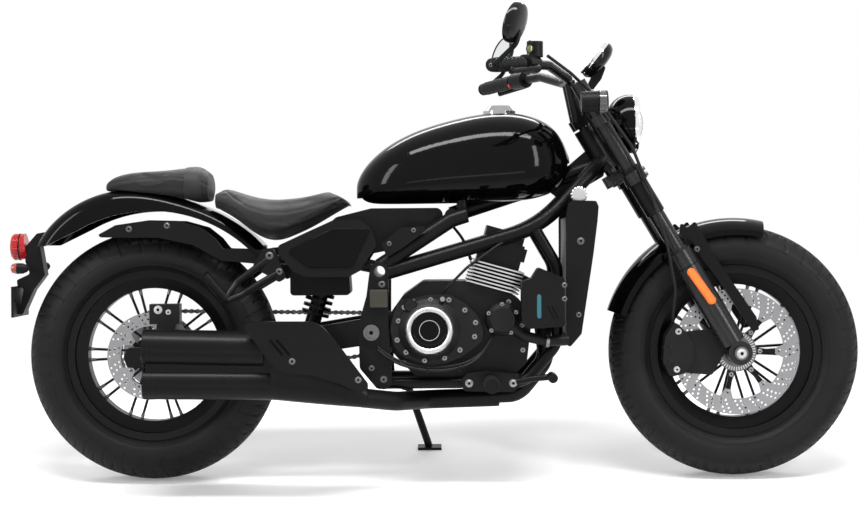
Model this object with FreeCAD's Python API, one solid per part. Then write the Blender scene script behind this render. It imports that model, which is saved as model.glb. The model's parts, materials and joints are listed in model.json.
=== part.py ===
import FreeCAD, Part
import math
import os
from FreeCAD import Vector

# A middleweight cruiser motorcycle with a liquid-cooled parallel twin, resting on its side stand.
# Built upright: x forward from the rear axle, y to the rider's left, z up from the ground, in mm.
# The finished pieces are then leaned over to the left and moved to the middle of their footprint.

# Overall layout
WHEELBASE = 1485.0
TYRE_R = 320.0
CROWN_R = 75.0
LEAN = 9.0
RAKE = 30.5
STEER_OFFSET = 35.0

# Clearances
PIN_GAP = 0.5
SEAT_GAP = 0.4

# Wheels
RIM_FLANGE_R = 217.0
RIM_BEAD_R = 203.0
RIM_WELL_R = 170.0
RIM_WALL = 4.0
TYRE_WALL = 11.0
FRONT_TYRE_W = 130.0
REAR_TYRE_W = 150.0
FRONT_RIM_W = 92.0
REAR_RIM_W = 108.0
SPOKE_PAIRS = 10
SPOKE_R = 3.4
SPOKE_SPREAD = 13.0
AXLE_R = 10.0

# Brakes
FRONT_DISC_R = 160.0
FRONT_DISC_Y = -62.0
REAR_DISC_R = 110.0
REAR_DISC_Y = -88.0
DISC_T = 5.0
DISC_BAND = 38.0

# Fork
LEG_Y = 105.0
FORK_TUBE_R = 20.5
SLIDER_R = 31.0
FORK_TOP_Z = 1003.0
SLIDER_TOP_Z = 575.0
HEAD_TUBE_R = 30.0
HEAD_BOTTOM_Z = 786.0
HEAD_TOP_Z = 893.0
STEM_R = 14.0

# Frame
SPAR_R = 20.0
DOWN_R = 19.0
CRADLE_R = 14.0
FRAME_Y = 120.0
CRADLE_Y = 126.0
CRADLE_SIDE = 126.0
BOSS_X = 581.0
BOSS_Z = 531.0
BOSS_R = 24.0
BOSS_BORE = 14.0
BOSS_Y = 152.0
PIVOT_X = 560.0
PIVOT_Z = 379.0
PIVOT_PLATE_Y = 138.0
PIVOT_PLATE_T = 12.0

# Swingarm and drive
ARM_Y = 112.0
ARM_T = 24.0
CHAIN_Y = 94.0
CHAIN_W = 14.0
CHAIN_H = 14.0
REAR_SPROCKET_R = 98.0
FRONT_SPROCKET_R = 36.0
FRONT_SPROCKET_X = 640.0
FRONT_SPROCKET_Z = 372.0

# Bodywork
FENDER_HALF = 101.5
FENDER_WALL = 3.5
FENDER_SKIRT_R = 367.0
FRONT_FENDER_R = 340.0
FRONT_FENDER_HALF = 72.0
TUNNEL_HALF = 46.0
PLATE_HOLE_Y = 70.0
PLATE_HOLE_Z = 460.0
PLATE_HOLE_R = 3.5
PLATE_T = 6.0
PLATE_X = -352.0


# Shape helpers
def cylinder(start, end, radius):
    """A round bar from one point to another."""
    a = Vector(*start)
    run = Vector(*end) - a
    return Part.makeCylinder(radius, run.Length, a, run)


def cone(start, end, first, last):
    a = Vector(*start)
    run = Vector(*end) - a
    return Part.makeCone(first, last, run.Length, a, run)


def block(low, high):
    size = [b - a for a, b in zip(low, high)]
    return Part.makeBox(size[0], size[1], size[2], Vector(*low))


def corner_arc(before, corner, after, radius):
    """The arc that rounds one corner, as its two ends and the edge between them."""
    u = before - corner
    v = after - corner
    half = u.getAngle(v) / 2
    reach = min(radius / math.tan(half), 0.46 * u.Length, 0.46 * v.Length)
    u.normalize()
    v.normalize()
    a = corner + u * reach
    b = corner + v * reach
    inward = (u + v).normalize()
    arc_radius = reach * math.tan(half)
    middle = corner + inward * (arc_radius / math.sin(half) - arc_radius)
    return a, b, Part.Arc(a, middle, b).toShape()


def path(points, bend):
    """Straight runs joined by tangent arcs."""
    pts = [Vector(*p) for p in points]
    edges = []
    start = pts[0]
    for before, corner, after in zip(pts, pts[1:], pts[2:]):
        a, b, arc = corner_arc(before, corner, after, bend)
        edges += [Part.LineSegment(start, a).toShape(), arc]
        start = b
    edges.append(Part.LineSegment(start, pts[-1]).toShape())
    return Part.Wire(edges)


def tube(points, radius, bend=60.0):
    """A round tube along a bent route."""
    spine = path(points, bend)
    first = spine.Edges[0]
    circle = Part.makeCircle(radius, first.valueAt(first.FirstParameter), first.tangentAt(first.FirstParameter))
    return spine.makePipeShell([Part.Wire(circle)], True, False)


def outline(points, corner=0.0):
    """A closed outline with rounded corners."""
    if not corner:
        return Part.makePolygon(points + points[:1])
    edges = []
    ends = []
    for i, here in enumerate(points):
        a, b, arc = corner_arc(points[i - 1], here, points[(i + 1) % len(points)], corner)
        ends.append((a, b, arc))
    for i, (a, b, arc) in enumerate(ends):
        following = ends[(i + 1) % len(ends)][0]
        edges += [arc, Part.LineSegment(b, following).toShape()]
    return Part.Wire(edges)


def plate(points, near, far, corner=0.0):
    """A flat piece seen from the side: (x, z) points between two values of y."""
    wire = outline([Vector(x, near, z) for x, z in points], corner)
    return Part.Face(wire).extrude(Vector(0, far - near, 0))


def turned(profile, x, z, corner=0.0):
    """A piece turned about a crosswise axis: (y, radius) points about (x, z)."""
    wire = outline([Vector(x + r, y, z) for y, r in profile], corner)
    return Part.Face(wire).revolve(Vector(x, 0, z), Vector(0, 1, 0), 360)


def disc(x, z, near, far, radius, bore=0.0):
    """A flat disc, or a ring where it has a bore, about a crosswise axis."""
    solid = Part.makeCylinder(radius, far - near, Vector(x, near, z), Vector(0, 1, 0))
    if bore:
        solid = solid.cut(Part.makeCylinder(bore, far - near, Vector(x, near, z), Vector(0, 1, 0)))
    return solid


def quarter(start, corner, end, fullness):
    curve = Part.BezierCurve()
    curve.setPoles([start, corner, end])
    curve.setWeight(2, fullness)
    return curve.toShape()


def section(x, half, top, widest, bottom, fullness=0.9):
    """A rounded cross-section at x: its half width is at the height called widest."""
    left = Vector(x, half, widest)
    right = Vector(x, -half, widest)
    crown = Vector(x, 0, top)
    keel = Vector(x, 0, bottom)
    edges = [
        quarter(right, Vector(x, -half, top), crown, fullness),
        quarter(crown, Vector(x, half, top), left, fullness),
        quarter(left, Vector(x, half, bottom), keel, fullness),
        quarter(keel, Vector(x, -half, bottom), right, fullness),
    ]
    return Part.Wire(edges)


def lofted(stations, fullness=0.9):
    return Part.makeLoft([section(*s, fullness=fullness) for s in stations], True, False)


def mirrored(shape):
    return shape.mirror(Vector(0, 0, 0), Vector(0, 1, 0))


def fuse(shapes):
    return shapes[0].multiFuse(shapes[1:]).removeSplitter()


def both_sides(shape):
    """The same piece on the right and on the left, as separate solids."""
    return Part.makeCompound([shape, mirrored(shape)])


def less(shape, *others):
    """The shape without the room that its neighbours take."""
    for other in others:
        shape = shape.cut(other)
    return shape


# Places that several pieces share
def fork_at(z):
    """The fork centreline's x at a height."""
    return WHEELBASE - (z - TYRE_R) * math.tan(math.radians(RAKE))


def steer_at(z):
    """The steering axis's x at a height."""
    return fork_at(z) - STEER_OFFSET / math.cos(math.radians(RAKE))


def fork_point(z, y):
    return (fork_at(z), y, z)


def steer_point(z):
    return (steer_at(z), 0.0, z)


# Wheels
def tyre(x, width):
    """A hollow tyre whose crown is a true arc, so that it rolls over onto it."""
    half = width / 2
    shoulder_y = half * 0.93
    shoulder_r = TYRE_R - CROWN_R + math.sqrt(CROWN_R ** 2 - shoulder_y ** 2)
    bead_y = half * 0.66
    side_y = half
    bead_top = RIM_FLANGE_R + 2
    side_r = (shoulder_r + bead_top) / 2

    def point(y, r):
        return Vector(x + r, y, TYRE_R)

    edges = [
        Part.Arc(point(-shoulder_y, shoulder_r), point(0, TYRE_R), point(shoulder_y, shoulder_r)).toShape(),
        Part.Arc(point(shoulder_y, shoulder_r), point(side_y, side_r), point(bead_y, bead_top)).toShape(),
        Part.LineSegment(point(bead_y, bead_top), point(bead_y, RIM_BEAD_R)).toShape(),
        Part.LineSegment(point(bead_y, RIM_BEAD_R), point(bead_y - TYRE_WALL, RIM_BEAD_R)).toShape(),
        Part.LineSegment(point(bead_y - TYRE_WALL, RIM_BEAD_R), point(bead_y - TYRE_WALL, bead_top)).toShape(),
        Part.Arc(
            point(bead_y - TYRE_WALL, bead_top),
            point(side_y - TYRE_WALL, side_r),
            point(shoulder_y - TYRE_WALL, shoulder_r - TYRE_WALL),
        ).toShape(),
        Part.Arc(
            point(shoulder_y - TYRE_WALL, shoulder_r - TYRE_WALL),
            point(0, TYRE_R - TYRE_WALL),
            point(TYRE_WALL - shoulder_y, shoulder_r - TYRE_WALL),
        ).toShape(),
        Part.Arc(
            point(TYRE_WALL - shoulder_y, shoulder_r - TYRE_WALL),
            point(TYRE_WALL - side_y, side_r),
            point(TYRE_WALL - bead_y, bead_top),
        ).toShape(),
        Part.LineSegment(point(TYRE_WALL - bead_y, bead_top), point(TYRE_WALL - bead_y, RIM_BEAD_R)).toShape(),
        Part.LineSegment(point(TYRE_WALL - bead_y, RIM_BEAD_R), point(-bead_y, RIM_BEAD_R)).toShape(),
        Part.LineSegment(point(-bead_y, RIM_BEAD_R), point(-bead_y, bead_top)).toShape(),
        Part.Arc(point(-bead_y, bead_top), point(-side_y, side_r), point(-shoulder_y, shoulder_r)).toShape(),
    ]
    face = Part.Face(Part.Wire(edges))
    return face.revolve(Vector(x, 0, TYRE_R), Vector(0, 1, 0), 360)


def rim(x, width, tyre_width):
    """The rim channel that the tyre's beads sit on."""
    half = width / 2
    bead = tyre_width * 0.33
    profile = [
        (-half, RIM_FLANGE_R),
        (-bead, RIM_FLANGE_R),
        (-bead, RIM_BEAD_R),
        (-half * 0.45, RIM_BEAD_R),
        (-half * 0.34, RIM_WELL_R + RIM_WALL),
        (half * 0.34, RIM_WELL_R + RIM_WALL),
        (half * 0.45, RIM_BEAD_R),
        (bead, RIM_BEAD_R),
        (bead, RIM_FLANGE_R),
        (half, RIM_FLANGE_R),
        (half, RIM_BEAD_R - RIM_WALL),
        (half * 0.55, RIM_BEAD_R - RIM_WALL),
        (half * 0.42, RIM_WELL_R),
        (-half * 0.42, RIM_WELL_R),
        (-half * 0.55, RIM_BEAD_R - RIM_WALL),
        (-half, RIM_BEAD_R - RIM_WALL),
    ]
    return turned(profile, x, TYRE_R)


def hub(x, right, left, disc_seat, far_seat, flange_r):
    """The hub barrel, bored for its axle, with a seat at each end."""
    profile = [
        (right, AXLE_R + PIN_GAP),
        (right, disc_seat),
        (right + 14, disc_seat),
        (-34, 26),
        (-34, flange_r),
        (-26, flange_r),
        (-20, 25),
        (20, 25),
        (26, flange_r),
        (34, flange_r),
        (34, 26),
        (left - 14, far_seat),
        (left, far_seat),
        (left, AXLE_R + PIN_GAP),
    ]
    return turned(profile, x, TYRE_R)


def spokes(x, flange_r):
    """Pairs of spokes that start together on the hub and part towards the rim."""
    bars = []
    for i in range(SPOKE_PAIRS):
        middle = 360.0 * i / SPOKE_PAIRS + 18.0
        side = 1 if i % 2 else -1
        for lean in (-1, 1):
            root = math.radians(middle + lean * 5.0)
            tip = math.radians(middle + lean * SPOKE_SPREAD)
            inner = flange_r - 7
            outer = RIM_WELL_R + 2
            start = (x + inner * math.cos(root), side * 30, TYRE_R + inner * math.sin(root))
            end = (x + outer * math.cos(tip), side * 10, TYRE_R + outer * math.sin(tip))
            bars.append(cylinder(start, end, SPOKE_R))
    return bars


def wheel(x, rim_width, tyre_width, right, left, disc_seat, far_seat, flange_r):
    return fuse(
        [rim(x, rim_width, tyre_width), hub(x, right, left, disc_seat, far_seat, flange_r)] + spokes(x, flange_r)
    )


def brake_disc(x, y, radius, band, hub_r, arms):
    """A drilled ring on a carrier with spread arms."""
    near = y - DISC_T / 2
    far = y + DISC_T / 2
    inner = radius - band
    pieces = [disc(x, TYRE_R, near, far, radius, inner), disc(x, TYRE_R, near, far, hub_r + 12, AXLE_R + 12)]
    for i in range(arms):
        a = math.radians(360.0 * i / arms + 10)
        b = a + math.radians(360.0 / arms * 0.32)
        start = (x + hub_r * math.cos(a), y, TYRE_R + hub_r * math.sin(a))
        end = (x + (inner + 4) * math.cos(b), y, TYRE_R + (inner + 4) * math.sin(b))
        pieces.append(bar(start, end, 13.0, DISC_T))
    return fuse(pieces)


def bar(start, end, width, thick):
    """A flat bar between two points of one side plane."""
    a = Vector(*start)
    run = Vector(*end) - a
    length = run.Length
    solid = Part.makeBox(length, thick, width, Vector(0, -thick / 2, -width / 2))
    solid.rotate(Vector(0, 0, 0), Vector(0, 1, 0), -math.degrees(math.atan2(run.z, run.x)))
    solid.translate(a)
    return solid


def rear_sprocket():
    near = CHAIN_Y - 3.5
    far = CHAIN_Y + 3.5
    ring = disc(0, TYRE_R, near, far, REAR_SPROCKET_R, 64)
    pieces = [ring, disc(0, TYRE_R, near, far, 46, AXLE_R + 16)]
    for i in range(5):
        a = math.radians(72.0 * i + 20)
        start = (40 * math.cos(a), CHAIN_Y, TYRE_R + 40 * math.sin(a))
        end = (68 * math.cos(a), CHAIN_Y, TYRE_R + 68 * math.sin(a))
        pieces.append(bar(start, end, 18.0, far - near))
    return fuse(pieces)


def drive_chain():
    """The chain as one loop about both sprockets, with a gap to their rims."""
    gap = 1.5

    def loop(extra):
        big = REAR_SPROCKET_R + gap + extra
        small = FRONT_SPROCKET_R + gap + extra
        dx = FRONT_SPROCKET_X
        dz = FRONT_SPROCKET_Z - TYRE_R
        span = math.hypot(dx, dz)
        tilt = math.atan2(dz, dx)
        lift = math.acos((big - small) / span)
        up = tilt + lift
        down = tilt - lift

        def on(cx, cz, r, a):
            return Vector(cx + r * math.cos(a), CHAIN_Y - CHAIN_W / 2, cz + r * math.sin(a))

        top_a = on(0, TYRE_R, big, up)
        top_b = on(dx, FRONT_SPROCKET_Z, small, up)
        low_a = on(0, TYRE_R, big, down)
        low_b = on(dx, FRONT_SPROCKET_Z, small, down)
        wire = Part.Wire(
            [
                Part.LineSegment(top_a, top_b).toShape(),
                Part.Arc(top_b, on(dx, FRONT_SPROCKET_Z, small, tilt), low_b).toShape(),
                Part.LineSegment(low_b, low_a).toShape(),
                Part.Arc(low_a, on(0, TYRE_R, big, tilt + math.pi), top_a).toShape(),
            ]
        )
        return Part.Face(wire).extrude(Vector(0, CHAIN_W, 0))

    return loop(CHAIN_H).cut(loop(0.0))


# Frame
def cross_tube():
    """The open tube right across the frame, where its spars and side plates meet."""
    return disc(BOSS_X, BOSS_Z, -BOSS_Y, BOSS_Y, BOSS_R, BOSS_BORE)


def head_gusset():
    points = [(1118, 842), (1160, 772), (1046, 706), (1000, 742)]
    return plate(points, -6, 6, 10)


def main_frame():
    head = cylinder(steer_point(HEAD_BOTTOM_Z), steer_point(HEAD_TOP_Z), HEAD_TUBE_R)
    pieces = [
        head,
        tube([(steer_at(806), 0, 806), (980, 0, 742), (762, 0, 672)], 21.0, 200),
        cylinder((762, -114, 672), (762, 114, 672), 16.0),
        head_gusset(),
        cylinder((330, -112, 566), (330, 112, 566), CRADLE_R),
        cylinder((1000, -TUNNEL_HALF + SEAT_GAP, 750), (1000, TUNNEL_HALF - SEAT_GAP, 750), 13.0),
        cylinder((790, -66, 668), (790, -66, 740), 13.0),
        cylinder((790, 66, 668), (790, 66, 740), 13.0),
    ]
    for s in (-1, 1):
        pieces.append(tube([(800, s * 106, 672), (762, s * 110, 660), (BOSS_X, s * FRAME_Y, BOSS_Z + 12)], SPAR_R, 60))
        pieces.append(
            tube(
                [(steer_at(816) + 4, s * 12, 816), (985, s * 105, 640), (BOSS_X + 6, s * FRAME_Y, BOSS_Z - 6)],
                DOWN_R,
                240,
            )
        )
        rail = [(BOSS_X, s * 112, BOSS_Z + 6), (470, s * 112, 560), (298, s * 112, 566)]
        pieces.append(tube(rail, CRADLE_R, 120))
    frame = fuse(pieces)
    low = steer_point(HEAD_BOTTOM_Z - 5)
    high = steer_point(HEAD_TOP_Z + 5)
    frame = frame.cut(cylinder(low, high, STEM_R + PIN_GAP))
    return frame.cut(disc(BOSS_X, BOSS_Z, -200, 200, BOSS_R))


def lower_cradle():
    """The rails under the engine, with the plates that hold the swingarm's pivot and the stand."""
    pieces = [cylinder((590, -138, 250), (590, 138, 250), CRADLE_R), stand_bracket()]
    for s in (-1, 1):
        rail = [
            (975, s * 105, 632),
            (1028, s * 110, 540),
            (1026, s * 112, 345),
            (945, s * 118, 250),
            (590, s * CRADLE_Y, 250),
        ]
        pieces.append(tube(rail, CRADLE_R, 60))
        side = plate(
            [(558, 545), (604, 535), (603, 400), (612, 245), (575, 236), (530, 290), (528, 400), (548, 470)],
            s * PIVOT_PLATE_Y,
            s * (PIVOT_PLATE_Y + PIVOT_PLATE_T),
            16,
        )
        pieces.append(side)
    cradle = fuse(pieces).cut(disc(BOSS_X, BOSS_Z, -200, 200, BOSS_R))
    return cradle.cut(disc(PIVOT_X, PIVOT_Z, -200, 200, AXLE_R))


# Engine
ENGINE_RIGHT = -105.0
ENGINE_LEFT = 84.0
CYLINDER_TILT = 15.8


def engine_case():
    points = [(640, 470), (604, 420), (608, 330), (645, 290), (700, 238), (890, 238), (950, 300)]
    points += [(962, 400), (930, 462), (800, 505), (690, 505)]
    case = plate(points, ENGINE_RIGHT, ENGINE_LEFT, 22)
    shaft = disc(FRONT_SPROCKET_X, FRONT_SPROCKET_Z, ENGINE_LEFT, CHAIN_Y + 4, 15)
    return fuse([case, shaft])


def clutch_cover():
    points = [(705, 472), (757, 472), (796, 450), (826, 420), (838, 386), (838, 358), (790, 320)]
    points += [(750, 303), (700, 295), (642, 317), (616, 345), (607, 387), (617, 430), (633, 458)]
    cover = plate(points, -158, ENGINE_RIGHT, 26)
    dome = turned([(-178, 0.01), (-178, 50), (-172, 62), (-158, 78), (-158, 0.01)], 705, 385)
    cap = disc(705, 385, -188, -178, 42)
    return fuse([cover, dome, cap])


def generator_cover():
    points = [(700, 455), (760, 482), (850, 470), (905, 420), (905, 345), (850, 295), (760, 290), (700, 330)]
    cover = plate(points, ENGINE_LEFT, 132, 30)
    dome = turned([(132, 0.01), (132, 82), (150, 70), (158, 50), (158, 0.01)], 800, 385)
    return fuse([cover, dome])


def sprocket_cover():
    points = [(602, 420), (664, 424), (690, 400), (690, 345), (650, 318), (604, 322)]
    return plate(points, CHAIN_Y + CHAIN_W / 2 + 3, CHAIN_Y + CHAIN_W / 2 + 15, 18)


def tilted(shape):
    shape.rotate(Vector(850, 0, 470), Vector(0, 1, 0), CYLINDER_TILT)
    return shape


def cylinder_block():
    """The finned cylinders and the head, leaning forward."""
    pieces = [block((802, -84, 455), (912, 84, 612))]
    for i in range(7):
        z = 490 + i * 9
        pieces.append(block((790, -118, z), (926, 118, z + 3.5)))
    pieces.append(block((796, -84, 572), (920, 84, 606)))
    pieces.append(block((806, -78, 606), (906, 78, 640)))
    return tilted(fuse(pieces))


def clutch_cable():
    """The last stretch of the clutch cable, from its guide on the frame to the lever on the cover."""
    run = [(925, -96, 617), (880, -128, 596), (800, -150, 540), (752, -150, 492), (738, -140, 478)]
    return tube(run, 3.5, 60)


def coolant_pump():
    body = turned([(-160, 0.01), (-160, 30), (-150, 40), (ENGINE_RIGHT, 44), (ENGINE_RIGHT, 0.01)], 888, 409)
    hose = tube([(888, -145, 409), (940, -148, 368), (1000, -148, 354), (1052, -141, 356)], 13, 40)
    return fuse([body, hose])


def reservoir_box():
    points = [(934, 504), (959, 513), (976, 540), (1040, 513), (1040, 393), (951, 388), (934, 402)]
    return plate(points, -206, -CRADLE_SIDE - SEAT_GAP, 8)


# Cooling
SHROUD_NEAR = 132.0
SHROUD_FAR = 150.0


def radiator():
    core = plate([(1052, 660), (1098, 678), (1072, 372), (1050, 368)], -SHROUD_NEAR, SHROUD_NEAR)
    return core


def radiator_shrouds():
    points = [(1048, 660), (1054, 698), (1068, 706), (1124, 704), (1130, 690), (1127, 654), (1116, 570)]
    points += [(1085, 372), (1050, 332), (1047, 400)]
    return both_sides(plate(points, -SHROUD_FAR, -SHROUD_NEAR, 6))


def radiator_cap():
    neck = cylinder((1080, -112, 660), (1074, -112, 712), 12)
    head = cylinder((1072, -130, 720), (1072, -94, 720), 23)
    return fuse([head, neck])


# Exhaust
SILENCER_Y = -228.0


def exhaust_pipes():
    pieces = []
    for y in (-42, 42):
        header = [(900, y, 520), (985, y, 478), (1004, y, 300), (930, y, 212), (860, -20, 208)]
        pieces.append(tube(header, 19, 60))
    pieces.append(tube([(880, -20, 205), (700, -40, 202), (620, -150, 207), (540, -200, 220)], 24, 70))
    return fuse(pieces)


def silencer():
    upper = cylinder((300, SILENCER_Y, 342), (3, SILENCER_Y, 350), 46)
    lower = cylinder((330, SILENCER_Y, 258), (3, SILENCER_Y, 262), 39)
    web = plate([(318, 350), (10, 352), (10, 264), (320, 260)], SILENCER_Y - 26, SILENCER_Y + 26, 0)
    front = Part.makeLoft(
        [
            section_at(318, SILENCER_Y, 46, 389, 300, 220),
            section_at(440, SILENCER_Y + 6, 40, 335, 265, 207),
            section_at(552, -205, 27, 248, 222, 196),
        ],
        True,
        False,
    )
    return fuse([upper, lower, web, front])


def section_at(x, y, half, top, widest, bottom):
    wire = section(x, half, top, widest, bottom, 1.0)
    wire.translate(Vector(0, y, 0))
    return wire


def silencer_guard():
    points = [(252, 406), (276, 415), (422, 414), (446, 401), (477, 367), (555, 262), (556, 248)]
    points += [(534, 241), (487, 262), (422, 283), (347, 290), (318, 314), (279, 369)]
    return plate(points, SILENCER_Y - 62, SILENCER_Y - 46 - SEAT_GAP, 10)


# Bodywork
def fuel_tank():
    stations = [
        (521, 22, 752, 728, 712),
        (540, 58, 792, 738, 700),
        (592, 98, 843, 752, 698),
        (666, 124, 884, 766, 699),
        (760, 139, 914, 778, 700),
        (870, 146, 933, 788, 702),
        (960, 140, 926, 796, 708),
        (1016, 110, 900, 800, 722),
        (1050, 68, 858, 798, 748),
        (1066, 28, 820, 795, 776),
    ]
    tank = lofted(stations, 1.0)
    tunnel = plate([(480, 640), (480, 716), (770, 716), (1100, 812), (1100, 640)], -TUNNEL_HALF, TUNNEL_HALF)
    pocket = cylinder((888, 0, 924), (888, 0, 990), 42 + SEAT_GAP)
    return less(tank, tunnel, pocket)


def fuel_cap():
    plug = cylinder((888, 0, 924), (888, 0, 938), 42)
    top = cone((888, 0, 938), (888, 0, 952), 38, 26)
    return fuse([plug, top])


FENDER_TOP = [(-292, 600), (-216, 688), (-102, 737), (67, 721), (214, 656), (284, 598)]


def fender_top(drop):
    """The fender's upper curve in the side view, drawn in towards the wheel by a distance."""
    curve = Part.BSplineCurve()
    curve.interpolate([Vector(x, 0, z) for x, z in FENDER_TOP])
    if not drop:
        return curve
    points = []
    for x, z in FENDER_TOP:
        here = Vector(x, 0, z)
        along = curve.tangent(curve.parameter(here))[0]
        points.append(here + Vector(along.z, 0, -along.x) * drop)
    inner = Part.BSplineCurve()
    inner.interpolate(points)
    return inner


def fender_solid(top, half, rounding, lower):
    """A solid under an upper curve, between the sides, with rounded shoulders."""
    start = top.StartPoint
    end = top.EndPoint
    corners = [end] + [Vector(x, 0, z) for x, z in lower] + [start]
    edges = [top.toShape()] + [Part.LineSegment(p, q).toShape() for p, q in zip(corners, corners[1:])]
    face = Part.Face(Part.Wire(edges))
    face.translate(Vector(0, -half, 0))
    solid = face.extrude(Vector(0, 2 * half, 0))
    length = top.length()
    shoulders = [e for e in solid.Edges if abs(e.Length - length) < 0.01]
    return solid.makeFillet(rounding, shoulders)


def rear_fender():
    """A shell with rounded shoulders, open underneath, with its skirts cut along the wheel."""
    body = fender_solid(fender_top(0), FENDER_HALF, 38, [(274, 572), (262, 420), (-262, 420)])
    room = fender_solid(fender_top(FENDER_WALL), FENDER_HALF - FENDER_WALL, 35, [(290, 400), (-300, 400)])
    wheel_room = disc(0, TYRE_R, -FENDER_HALF - 5, FENDER_HALF + 5, FENDER_SKIRT_R)
    tail_room = plate([(-262, 600), (-180, 640), (-100, 560), (-100, 400), (-400, 400), (-400, 600)], -150, 150)
    return less(body, room, wheel_room, tail_room), body


def rider_seat(fender_body):
    stations = [
        (160, 96, 742, 722, 694),
        (210, 132, 733, 700, 664),
        (255, 152, 719, 680, 630),
        (305, 156, 711, 668, 608),
        (355, 148, 713, 672, 618),
        (415, 126, 723, 690, 646),
        (460, 100, 731, 704, 672),
        (492, 70, 724, 708, 690),
        (508, 40, 708, 703, 698),
    ]
    seat = lofted(stations, 1.3)
    return less(seat, fender_body)


def passenger_seat(fender_body, seat):
    stations = [
        (-122, 60, 752, 746, 738),
        (-100, 88, 770, 752, 730),
        (-40, 104, 784, 756, 720),
        (40, 110, 789, 757, 712),
        (120, 104, 795, 752, 706),
        (150, 90, 784, 748, 710),
    ]
    pad = lofted(stations, 1.2)
    return less(pad, fender_body, seat)


def fender_struts():
    points = [(-130, 628), (-86, 652), (0, 664), (70, 662), (130, 645), (165, 617), (186, 590), (340, 585)]
    points += [(344, 545), (181, 560), (110, 600), (23, 619), (-125, 621)]
    return plate(points, -97.5, -91, 8)


def side_covers():
    points = [(326, 597), (400, 631), (465, 660), (533, 661), (560, 640), (575, 600), (545, 552)]
    points += [(534, 534), (504, 518), (399, 518), (364, 533), (329, 578)]
    panel = plate(points, -146, -CRADLE_SIDE - SEAT_GAP, 12)
    return both_sides(panel)


def trim_plates():
    points = [(587, 600), (632, 640), (697, 644), (692, 628), (640, 590), (600, 566)]
    return both_sides(plate(points, -150, -FRAME_Y - SPAR_R - SEAT_GAP, 5))


def air_box():
    points = [(400, 600), (470, 668), (560, 690), (740, 690), (742, 628), (640, 590), (560, 575), (420, 560)]
    return plate(points, -94, 94, 18)


def under_seat_box():
    return plate([(352, 470), (352, 545), (500, 545), (505, 470)], -70, 70, 10)


def tail_lamp():
    lamp = cylinder((-330, 0, 600), (-362, 0, 596), 33)
    return lamp


def plate_carrier():
    points = [(-330, 560), (-318, 529), (-352, 513), (-350, 495), (-334, 493), (-347, 425), (-337, 425)]
    points += [(-309, 487), (-277, 529), (-282, 544), (-263, 586), (-254, 640), (-300, 632), (-328, 600)]
    arm = plate(points, -24, 24, 6)
    panel = block((PLATE_X, -92, 420), (PLATE_X + PLATE_T, 92, 498))
    for y in (-PLATE_HOLE_Y, PLATE_HOLE_Y):
        panel = panel.cut(cylinder((-360, y, PLATE_HOLE_Z), (-340, y, PLATE_HOLE_Z), PLATE_HOLE_R))
    signal = cylinder((-330, -112, 545), (-330, 112, 545), 8)
    return fuse([arm, panel, signal])


def rear_signals():
    lamp = turned_lamp((-336, -134, 545), (-300, -134, 545), 22)
    return both_sides(lamp)


def turned_lamp(start, end, radius):
    return cylinder(start, end, radius)


# Rear suspension
def swingarm():
    points = [(588, 352), (588, 404), (535, 412), (430, 395), (60, 344), (-52, 344), (-62, 320), (-52, 294)]
    points += [(60, 294), (430, 330), (535, 345)]
    pieces = []
    for s in (-1, 1):
        pieces.append(plate(points, s * ARM_Y, s * (ARM_Y + ARM_T), 10))
    pieces.append(disc(PIVOT_X, PIVOT_Z, -ARM_Y - ARM_T, ARM_Y + ARM_T, 24))
    pieces.append(block((376, -ARM_Y - 2, 336), (424, ARM_Y + 2, 386)))
    arm = fuse(pieces)
    arm = arm.cut(disc(PIVOT_X, PIVOT_Z, -200, 200, AXLE_R))
    return arm.cut(disc(0, TYRE_R, -200, 200, AXLE_R))


def pivot_bolt():
    shaft = disc(PIVOT_X, PIVOT_Z, -PIVOT_PLATE_Y - 22, PIVOT_PLATE_Y + 22, AXLE_R)
    heads = disc(PIVOT_X, PIVOT_Z, -PIVOT_PLATE_Y - 22, -PIVOT_PLATE_Y - PIVOT_PLATE_T, 20)
    nut = disc(PIVOT_X, PIVOT_Z, PIVOT_PLATE_Y + PIVOT_PLATE_T, PIVOT_PLATE_Y + 22, 20)
    return fuse([shaft, heads, nut])


def axle(x, half):
    shaft = disc(x, TYRE_R, -half, half, AXLE_R)
    right = disc(x, TYRE_R, -half, -half + 12, 17)
    left = disc(x, TYRE_R, half - 12, half, 17)
    return fuse([shaft, right, left])


def rear_shock():
    low = (402, 0, 392)
    high = (446, 0, 540)
    body = [cylinder(low, high, 20)]
    for i in range(6):
        t = 0.18 + i * 0.11
        x = low[0] + (high[0] - low[0]) * t
        z = low[2] + (high[2] - low[2]) * t
        body.append(cylinder((x, 0, z), (x + 2.4, 0, z + 8), 36))
    return fuse(body)


def shock_room():
    return cylinder((396, 0, 372), (452, 0, 560), 39)


def rear_caliper():
    shell = block((0, -112, 402), (76, -66, 452))
    slot = disc(0, TYRE_R, REAR_DISC_Y - 8, REAR_DISC_Y + 8, REAR_DISC_R + 5)
    hanger = plate([(8, 320), (40, 330), (66, 404), (20, 410)], -ARM_Y, -ARM_Y + 9, 6)
    hanger = hanger.cut(disc(0, TYRE_R, -200, 0, 24))
    return fuse([shell.cut(slot), hanger])


# Controls for the feet
def rider_footpegs():
    pieces = []
    for s in (-1, 1):
        near = CRADLE_Y + CRADLE_R
        points = [(784, 261), (799, 277), (849, 281), (925, 273), (937, 252), (915, 228), (789, 231)]
        mount = plate(points, s * (near - 4), s * (near + 16), 10)
        peg = cylinder((856, s * (near + 12), 254), (856, s * 330, 258), 17)
        lever = tube([(905, s * (near + 10), 250), (960, s * (near + 24), 262), (1010, s * 178, 268)], 8, 20)
        pad = cylinder((1008, s * 172, 268), (1008, s * 236, 268), 12)
        pieces.append(fuse([mount, peg, lever, pad]))
    return Part.makeCompound(pieces)


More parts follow.
